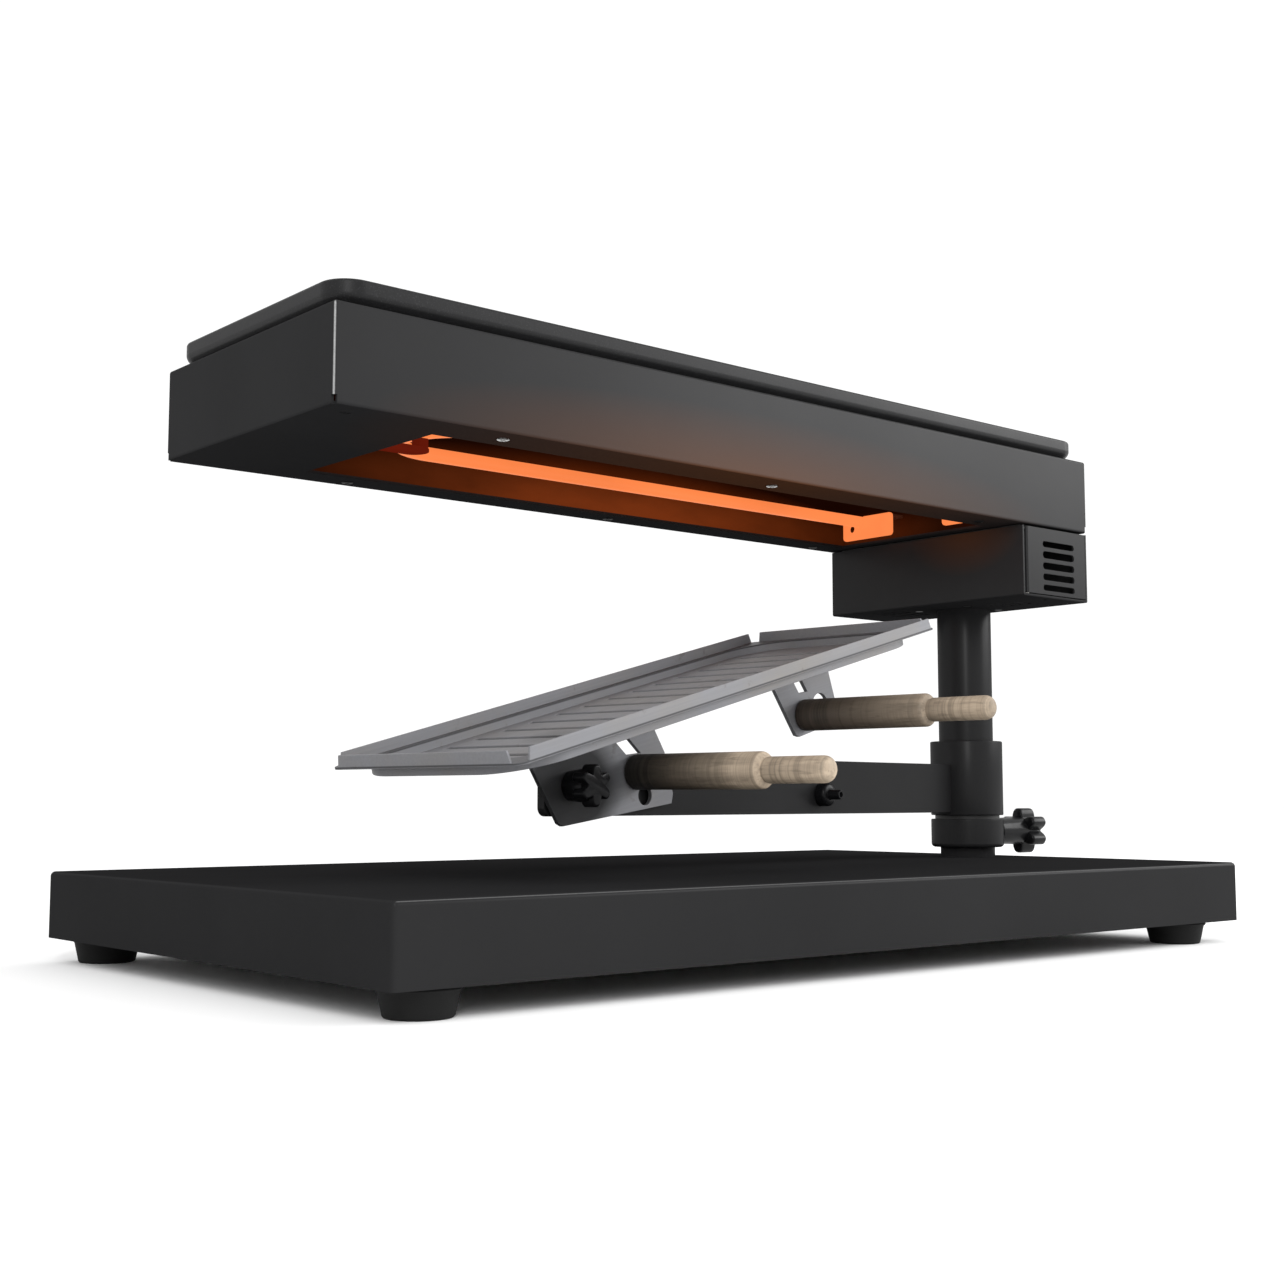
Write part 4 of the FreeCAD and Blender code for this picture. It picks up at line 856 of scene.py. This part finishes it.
def bend_element():
    """Round tube in a U: one leg is extruded, the bend is spun and the other leg is extruded back."""
    low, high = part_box("heating_element")
    radius = (high.z - low.z) / 2
    bend_r = (high.y - low.y) / 2 - radius
    bend_x = low.x + radius + bend_r
    middle = Vector((bend_x, (low.y + high.y) / 2, (low.z + high.z) / 2))
    deselect_all()
    bpy.ops.mesh.primitive_circle_add(
        vertices=32, radius=radius, fill_type="NGON", location=(high.x, middle.y - bend_r, middle.z),
        rotation=(0, math.pi / 2, 0))
    tube = bpy.context.object
    tube.name = "element_tube"
    tube.data.name = tube.name
    bpy.ops.object.transform_apply(location=True, rotation=True, scale=True)
    bpy.ops.object.mode_set(mode="EDIT")
    bpy.ops.mesh.select_mode(type="FACE")
    bpy.ops.mesh.select_all(action="SELECT")
    bpy.ops.mesh.extrude_region_move(TRANSFORM_OT_translate={"value": (bend_x - high.x, 0, 0)})
    bpy.ops.mesh.spin(steps=24, dupli=False, angle=math.pi, center=middle, axis=(0, 0, 1))
    bpy.ops.mesh.extrude_region_move(TRANSFORM_OT_translate={"value": (high.x - bend_x, 0, 0)})
    bpy.ops.mesh.select_all(action="SELECT")
    bpy.ops.mesh.remove_doubles(threshold=0.000002)
    bpy.ops.mesh.normals_make_consistent(inside=False)
    bpy.ops.object.mode_set(mode="OBJECT")
    shade_softly(tube)
    return tube


class RACLETTE_OT_heater(bpy.types.Operator):
    """Glowing tube in a U, its end plates and the tongue under its bend"""
    bl_idname = "raclette.heater"
    bl_label = "Heater"

    def execute(self, context):
        tube = bend_element()
        finish_piece(tube, "heating_element", FINISHES["glow_tube"])
        # Painted glow: the end plate and front bracket hold the tube and are no heaters, yet get its glowing
        # finish.
        cover_node("element_end_plate", FINISHES["glow_tube"], 0.3 * MM)
        cover_node("element_front_bracket", FINISHES["glow"], 0.3 * MM)
        cover_node("element_clip", FINISHES["clip"], 0.2 * MM)
        return {"FINISHED"}


def cast_griddle():
    """Block with round corners, a bevelled foot, a raised round rim and a sunk pan."""
    corner = 12.0 * MM
    foot_bevel = 3.4 * MM
    rim = 6.0 * MM
    pan_depth = 6.0 * MM
    deselect_all()
    bpy.ops.mesh.primitive_cube_add(
        size=1, location=(GRIDDLE_LOW + GRIDDLE_HIGH) / 2, scale=GRIDDLE_HIGH - GRIDDLE_LOW)
    plate = bpy.context.object
    plate.name = "griddle_cast"
    plate.data.name = plate.name
    bpy.ops.object.transform_apply(location=True, rotation=True, scale=True)
    bpy.ops.object.mode_set(mode="EDIT")
    top = GRIDDLE_HIGH.z - 1e-6
    bottom = GRIDDLE_LOW.z + 1e-6
    choose(plate, "edges", lambda e: abs(e.verts[0].co.z - e.verts[1].co.z) > MM)
    bpy.ops.mesh.bevel(offset=corner, segments=12, affect="EDGES")
    choose(plate, "edges", lambda e: all(v.co.z < bottom for v in e.verts))
    bpy.ops.mesh.bevel(offset=foot_bevel, segments=1, affect="EDGES")
    choose(plate, "faces", lambda f: all(v.co.z > top for v in f.verts))
    bpy.ops.mesh.inset(thickness=rim - 0.8 * MM, depth=0)
    bpy.ops.mesh.inset(thickness=0.8 * MM, depth=-pan_depth)
    bpy.ops.mesh.select_all(action="SELECT")
    bpy.ops.mesh.normals_make_consistent(inside=False)
    bpy.ops.object.mode_set(mode="OBJECT")
    soften_edges(plate, 1.3 * MM, 4, 28.0)
    shade_softly(plate)
    apply_modifier(plate, "WEIGHTED_NORMAL", keep_sharp=True, weight=90)
    return plate


class RACLETTE_OT_griddle(bpy.types.Operator):
    """Griddle plate with round corners, a rolled rim and a shallow pan"""
    bl_idname = "raclette.griddle"
    bl_label = "Griddle"

    def execute(self, context):
        plate = cast_griddle()
        finish_piece(plate, "griddle_plate", FINISHES["griddle"])
        return {"FINISHED"}


def lobed_knob(name, hub, disc_r, disc_start, end):
    """Clamp knob on the Z axis: a conical hub and a thick disc of rounded lobes."""
    lobes = bpy.context.scene.raclette_shape.lobes
    hub_r, hub_end_r = hub
    bend = 0.14 * disc_r
    rings = round_rings(disc_r - bend, disc_start + bend, bend, -80, 0, 5)
    rings += round_rings(disc_r - bend, end - bend, bend, 0, 90, 5)
    knob = turn_piece(name, rings, 24 * lobes, lobes=lobes, valley=0.6)
    hub_rings = [(hub_r * 0.6, 0.0), (hub_r - 0.5 * MM, 0.0), (hub_r, 0.5 * MM)]
    hub_rings += [(hub_end_r * 0.96, disc_start), (hub_end_r * 0.9, disc_start + 0.6 * (end - disc_start))]
    blend_in(knob, turn_piece(name + "_hub", hub_rings, 48))
    knob.name = name
    shade_softly(knob, 40.0)
    return knob


class RACLETTE_OT_collar(bpy.types.Operator):
    """Height collar, its clamp knob and the washer above it"""
    bl_idname = "raclette.collar"
    bl_label = "Collar"

    def execute(self, context):
        cover_node("height_collar", FINISHES["coat"], 0.3 * MM)
        end = KNOB_HIGH.x - KNOB_LOW.x
        disc = end - COLLAR_DISC
        radius = (KNOB_HIGH.z - KNOB_LOW.z) / 2
        knob = lobed_knob("collar_knob_moulded", COLLAR_HUB, radius, disc, end)
        settle(knob, facing((KNOB_LOW.x, KNOB_AXIS.y, KNOB_AXIS.z), (1, 0, 0)))
        finish_piece(knob, "collar_knob", FINISHES["bakelite"])
        dress_node("thrust_washer", "nylon")
        dress_node("collar_stud", "plated")
        return {"FINISHED"}


class RACLETTE_OT_arm(bpy.types.Operator):
    """Arm bar, sleeve, bushes, pivot bolt, washer, knob and stop"""
    bl_idname = "raclette.arm"
    bl_label = "Arm"

    def execute(self, context):
        low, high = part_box("arm_sleeve")
        outer = (high.x - low.x) / 2
        walls = [(outer, low.z), (outer, high.z), (SLEEVE_BORE_R, high.z), (SLEEVE_BORE_R, low.z)]
        sleeve = turn_piece("sleeve_turned", walls, 96, True)
        soften_edges(sleeve, 0.6 * MM)
        shade_softly(sleeve)
        settle(sleeve, Matrix.Translation((COLUMN_AXIS.x, COLUMN_AXIS.y, 0)))
        finish_piece(sleeve, "arm_sleeve", FINISHES["coat"])
        cover_node("arm_bar", FINISHES["coat"], 0.3 * MM)

        button_r = 5.4 * MM
        button_end = ARM_FACE + 5.6 * MM
        stem_r = 2.25 * MM
        stem_end = ARM_FACE + 11.75 * MM
        rings = [(button_r - 0.4 * MM, ARM_FACE), (button_r, ARM_FACE + 0.4 * MM)]
        rings += [(button_r, button_end - 1.6 * MM), (button_r - 0.3 * MM, button_end - 0.7 * MM)]
        rings += [(button_r - 1.1 * MM, button_end - 0.1 * MM), (stem_r + 0.25 * MM, button_end)]
        rings += [(stem_r, button_end + 0.4 * MM), (stem_r, stem_end - 0.55 * MM)]
        rings += [(stem_r - 0.35 * MM, stem_end - 0.05 * MM), (stem_r - 0.95 * MM, stem_end)]
        rings += [(stem_r - 1.15 * MM, stem_end - 1.15 * MM)]
        stud = turn_piece("stop_stud_turned", rings, 40)
        shade_softly(stud)
        settle(stud, ARM_FRAME @ Matrix.Translation((STOP_PLACE[0], 0, STOP_PLACE[1])) @ LIE_FORWARD)
        finish_piece(stud, "stop_stud", FINISHES["bakelite"])

        start = BRACKET_FACE + 0.1 * MM
        knob = lobed_knob("tilt_knob_moulded", TILT_HUB, TILT_DISC_R, TILT_DISC_START - start,
                          TILT_DISC_END - start)
        settle(knob, ARM_FRAME @ Matrix.Translation((PIVOT_IN_ARM.x, start, PIVOT_IN_ARM.z)) @ LIE_FORWARD)
        finish_piece(knob, "tilt_knob", FINISHES["bakelite"])
        dress_node("lower_bush", "bronze")
        dress_node("upper_bush", "bronze")
        dress_node("pivot_bolt", "plated")
        dress_node("pivot_washer", "nylon")
        return {"FINISHED"}


class RACLETTE_OT_tray(bpy.types.Operator):
    """Slotted cheese tray with its two brackets"""
    bl_idname = "raclette.tray"
    bl_label = "Tray"

    def execute(self, context):
        edge = context.scene.raclette_shape.edge
        for node in ("cheese_tray", "left_bracket", "right_bracket"):
            cover_node(node, FINISHES["steel"], edge)
        return {"FINISHED"}


class RACLETTE_OT_handles(bpy.types.Operator):
    """Two turned beech handles"""
    bl_idname = "raclette.handles"
    bl_label = "Handles"

    def execute(self, context):
        shape = context.scene.raclette_shape
        grip = shape.grip / 2
        tip = shape.tip / 2
        rings = [(1.5 * MM, BRACKET_FACE)]
        rings += round_rings(grip - 1.6 * MM, BRACKET_FACE + 1.6 * MM, 1.6 * MM, -90, 0)
        rings += round_rings(grip - 2.2 * MM, HANDLE_STEP - 3.4 * MM, 2.2 * MM, 0, 70)
        rings += [(tip + 0.15 * MM, HANDLE_STEP - 0.9 * MM), (tip - 0.35 * MM, HANDLE_STEP - 0.6 * MM)]
        rings += [(tip - 0.3 * MM, HANDLE_STEP), (tip, HANDLE_STEP + 0.8 * MM)]
        rings += round_rings(tip - 3.9 * MM, HANDLE_END - 3.9 * MM, 3.9 * MM, 0, 88, 7)
        first = turn_piece("handle_turned", rings, 56)
        shade_softly(first, 50.0)
        pieces = {"left_handle": first, "right_handle": copy_piece(first, "right_handle_turned")}
        first.name = "left_handle_turned"
        for node, piece in pieces.items():
            x, z = HANDLE_PLACES[node]
            settle(piece, TRAY_FRAME @ Matrix.Translation((x, 0, z)) @ LIE_FORWARD)
            finish_piece(piece, node, FINISHES["beech_left" if node == "left_handle" else "beech_right"])
        return {"FINISHED"}


# Centres of the screws in the head's underside
HEAD_SCREWS = [(-150.5 * MM, -54.715 * MM), (-6.4 * MM, -53.115 * MM), (136.2 * MM, -52.615 * MM)]
HEAD_SCREWS += [(x, 59.085 * MM) for x, _ in HEAD_SCREWS]


def pan_screw(name, head_r, head_h, shank_r, shank_h):
    """Cross-head screw on the Z axis, with its seat at zero."""
    rings = [(shank_r * 0.7, -shank_h), (shank_r, 0.5 * MM - shank_h), (shank_r, 0.0)]
    rings += [(head_r - 0.1 * MM, 0.0), (head_r, 0.1 * MM), (head_r, head_h * 0.5)]
    rings += [(head_r * 0.86, head_h * 0.86), (head_r * 0.6, head_h), (head_r * 0.1, head_h)]
    screw = turn_piece(name, rings, 32)
    cross_head(screw, head_r * 1.15, head_h * 0.5, head_h)
    shade_softly(screw, 30.0)
    return screw


def place_screws(screw, places, direction, node, material):
    """Puts a screw at the first place and a copy of it at each of the others."""
    for number, place in enumerate(places[1:], 2):
        twin = copy_piece(screw, screw.name + "_" + str(number))
        settle(twin, facing(place, direction))
        finish_piece(twin, node, material)
    settle(screw, facing(places[0], direction))
    finish_piece(screw, node, material)


class RACLETTE_OT_screws(bpy.types.Operator):
    """Screws of the feet, head, neck and handles"""
    bl_idname = "raclette.screws"
    bl_label = "Screws"

    def execute(self, context):
        for node in ("foot_screws", "handle_screws"):
            dress_node(node, "plated")
        dress_node("neck_screws", "black_screw")

        screw = pan_screw("head_screw", 2.4 * MM, 0.6 * MM, 1.5 * MM, 5.0 * MM)
        places = [Vector((x, y, HEAD_LOW.z)) for x, y in HEAD_SCREWS]
        # Painted shade: the front right screw and those at the back are plated screws like the others, given
        # the black finish to stand for shade.
        shade_dark_screw = copy_piece(screw, "head_screw_scorched")
        place_screws(screw, places[:2], (0, 0, -1), "head_screws", FINISHES["plated"])
        place_screws(shade_dark_screw, places[2:], (0, 0, -1), "head_screws", FINISHES["black_screw"])
        low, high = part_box("back_panel_screws")
        screw = pan_screw("back_screw", 3.0 * MM, 1.8 * MM, 1.5 * MM, 7.0 * MM)
        inset = 3.0 * MM
        seat = low.y + 7.0 * MM
        places = [Vector((x, seat, z)) for x in (low.x + inset, high.x - inset)
                  for z in (low.z + inset, high.z - inset)]
        place_screws(screw, places, (0, 1, 0), "back_panel_screws", FINISHES["black_screw"])
        return {"FINISHED"}


# Camera measured for the picture: lens, place, turn to the right of straight ahead, and upward lift

CAMERA_PLACE = (-0.51595, -0.5639, 0.0670)
CAMERA_TURN = math.radians(40.46)
CAMERA_LIFT = math.radians(5.35)
CAMERA_LENS = 47.19


def add_camera(scene):
    """Camera without depth of field or shift, as the picture was taken."""
    data = bpy.data.cameras.new("view_camera")
    data.lens = CAMERA_LENS
    data.sensor_width = 36.0
    data.clip_start = 0.01
    data.clip_end = 200.0
    camera = bpy.data.objects.new("view_camera", data)
    camera.location = CAMERA_PLACE
    camera.rotation_euler = (math.pi / 2 + CAMERA_LIFT, 0, -CAMERA_TURN)
    scene.collection.objects.link(camera)
    scene.camera = camera


def add_soft_light(name, place, target, width, height, power):
    """White area light that faces its target."""
    data = bpy.data.lights.new(name, "AREA")
    data.shape = "RECTANGLE"
    data.size = width
    data.size_y = height
    data.energy = power
    light = bpy.data.objects.new(name, data)
    light.location = place
    light.rotation_euler = (Vector(target) - Vector(place)).to_track_quat("-Z", "Y").to_euler()
    bpy.context.scene.collection.objects.link(light)


class RACLETTE_OT_stage(bpy.types.Operator):
    """Pale floor, white surround, soft lights and the camera"""
    bl_idname = "raclette.stage"
    bl_label = "Stage"

    def execute(self, context):
        scene = context.scene
        stage = scene.raclette_stage
        deselect_all()
        bpy.ops.mesh.primitive_plane_add(size=60, location=(0, 0, 0))
        floor = bpy.context.object
        floor.name = "studio_floor"
        floor.data.materials.append(studio_paper("studio_paper", stage.paper))
        world = bpy.data.worlds.new("white_surround")
        world.use_nodes = True
        world.node_tree.nodes["Background"].inputs["Color"].default_value = (1, 1, 1, 1)
        world.node_tree.nodes["Background"].inputs["Strength"].default_value = stage.surround
        scene.world = world
        add_soft_light("key_light", (2.0, -1.25, 1.05), (0.1, 0.0, 0.2), 1.8, 1.0, stage.key)
        add_soft_light("edge_light", (-0.95, -1.05, 0.75), (0.0, 0.0, 0.2), 0.12, 0.9, stage.rim)
        scene.view_settings.view_transform = "Standard"
        add_camera(scene)
        return {"FINISHED"}


PARTS = (
    RACLETTE_OT_base, RACLETTE_OT_feet, RACLETTE_OT_column, RACLETTE_OT_neck, RACLETTE_OT_electrics,
    RACLETTE_OT_head, RACLETTE_OT_heater, RACLETTE_OT_griddle, RACLETTE_OT_collar, RACLETTE_OT_arm,
    RACLETTE_OT_tray, RACLETTE_OT_handles, RACLETTE_OT_screws, RACLETTE_OT_stage,
)


class RACLETTE_PT_panel(bpy.types.Panel):
    """Lists the grill's settings and the buttons that build its pieces"""
    bl_idname = "RACLETTE_PT_panel"
    bl_label = "Raclette grill"
    bl_space_type = "VIEW_3D"
    bl_region_type = "UI"
    bl_category = "Raclette"

    def draw(self, context):
        scene = context.scene
        for group in (scene.raclette_finish, scene.raclette_shape, scene.raclette_stage):
            box = self.layout.box()
            for name in group.bl_rna.properties.keys():
                if name not in ("rna_type", "name"):
                    box.prop(group, name)
        for part in PARTS:
            self.layout.operator(part.bl_idname)


GROUPS = {
    "raclette_finish": RacletteFinish,
    "raclette_shape": RacletteShape,
    "raclette_stage": RacletteStage,
}


def register():
    for group in (*GROUPS.values(), *PARTS, RACLETTE_PT_panel):
        bpy.utils.register_class(group)
    for name, group in GROUPS.items():
        setattr(bpy.types.Scene, name, bpy.props.PointerProperty(type=group))


def unregister():
    for name in GROUPS:
        delattr(bpy.types.Scene, name)
    for group in (RACLETTE_PT_panel, *reversed(PARTS), *reversed(list(GROUPS.values()))):
        bpy.utils.unregister_class(group)


def main():
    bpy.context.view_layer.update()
    register()
    make_finishes(bpy.context.scene.raclette_finish)
    for part in PARTS:
        group, operator = part.bl_idname.split(".")
        getattr(getattr(bpy.ops, group), operator)()


if __name__ == "__main__":
    main()
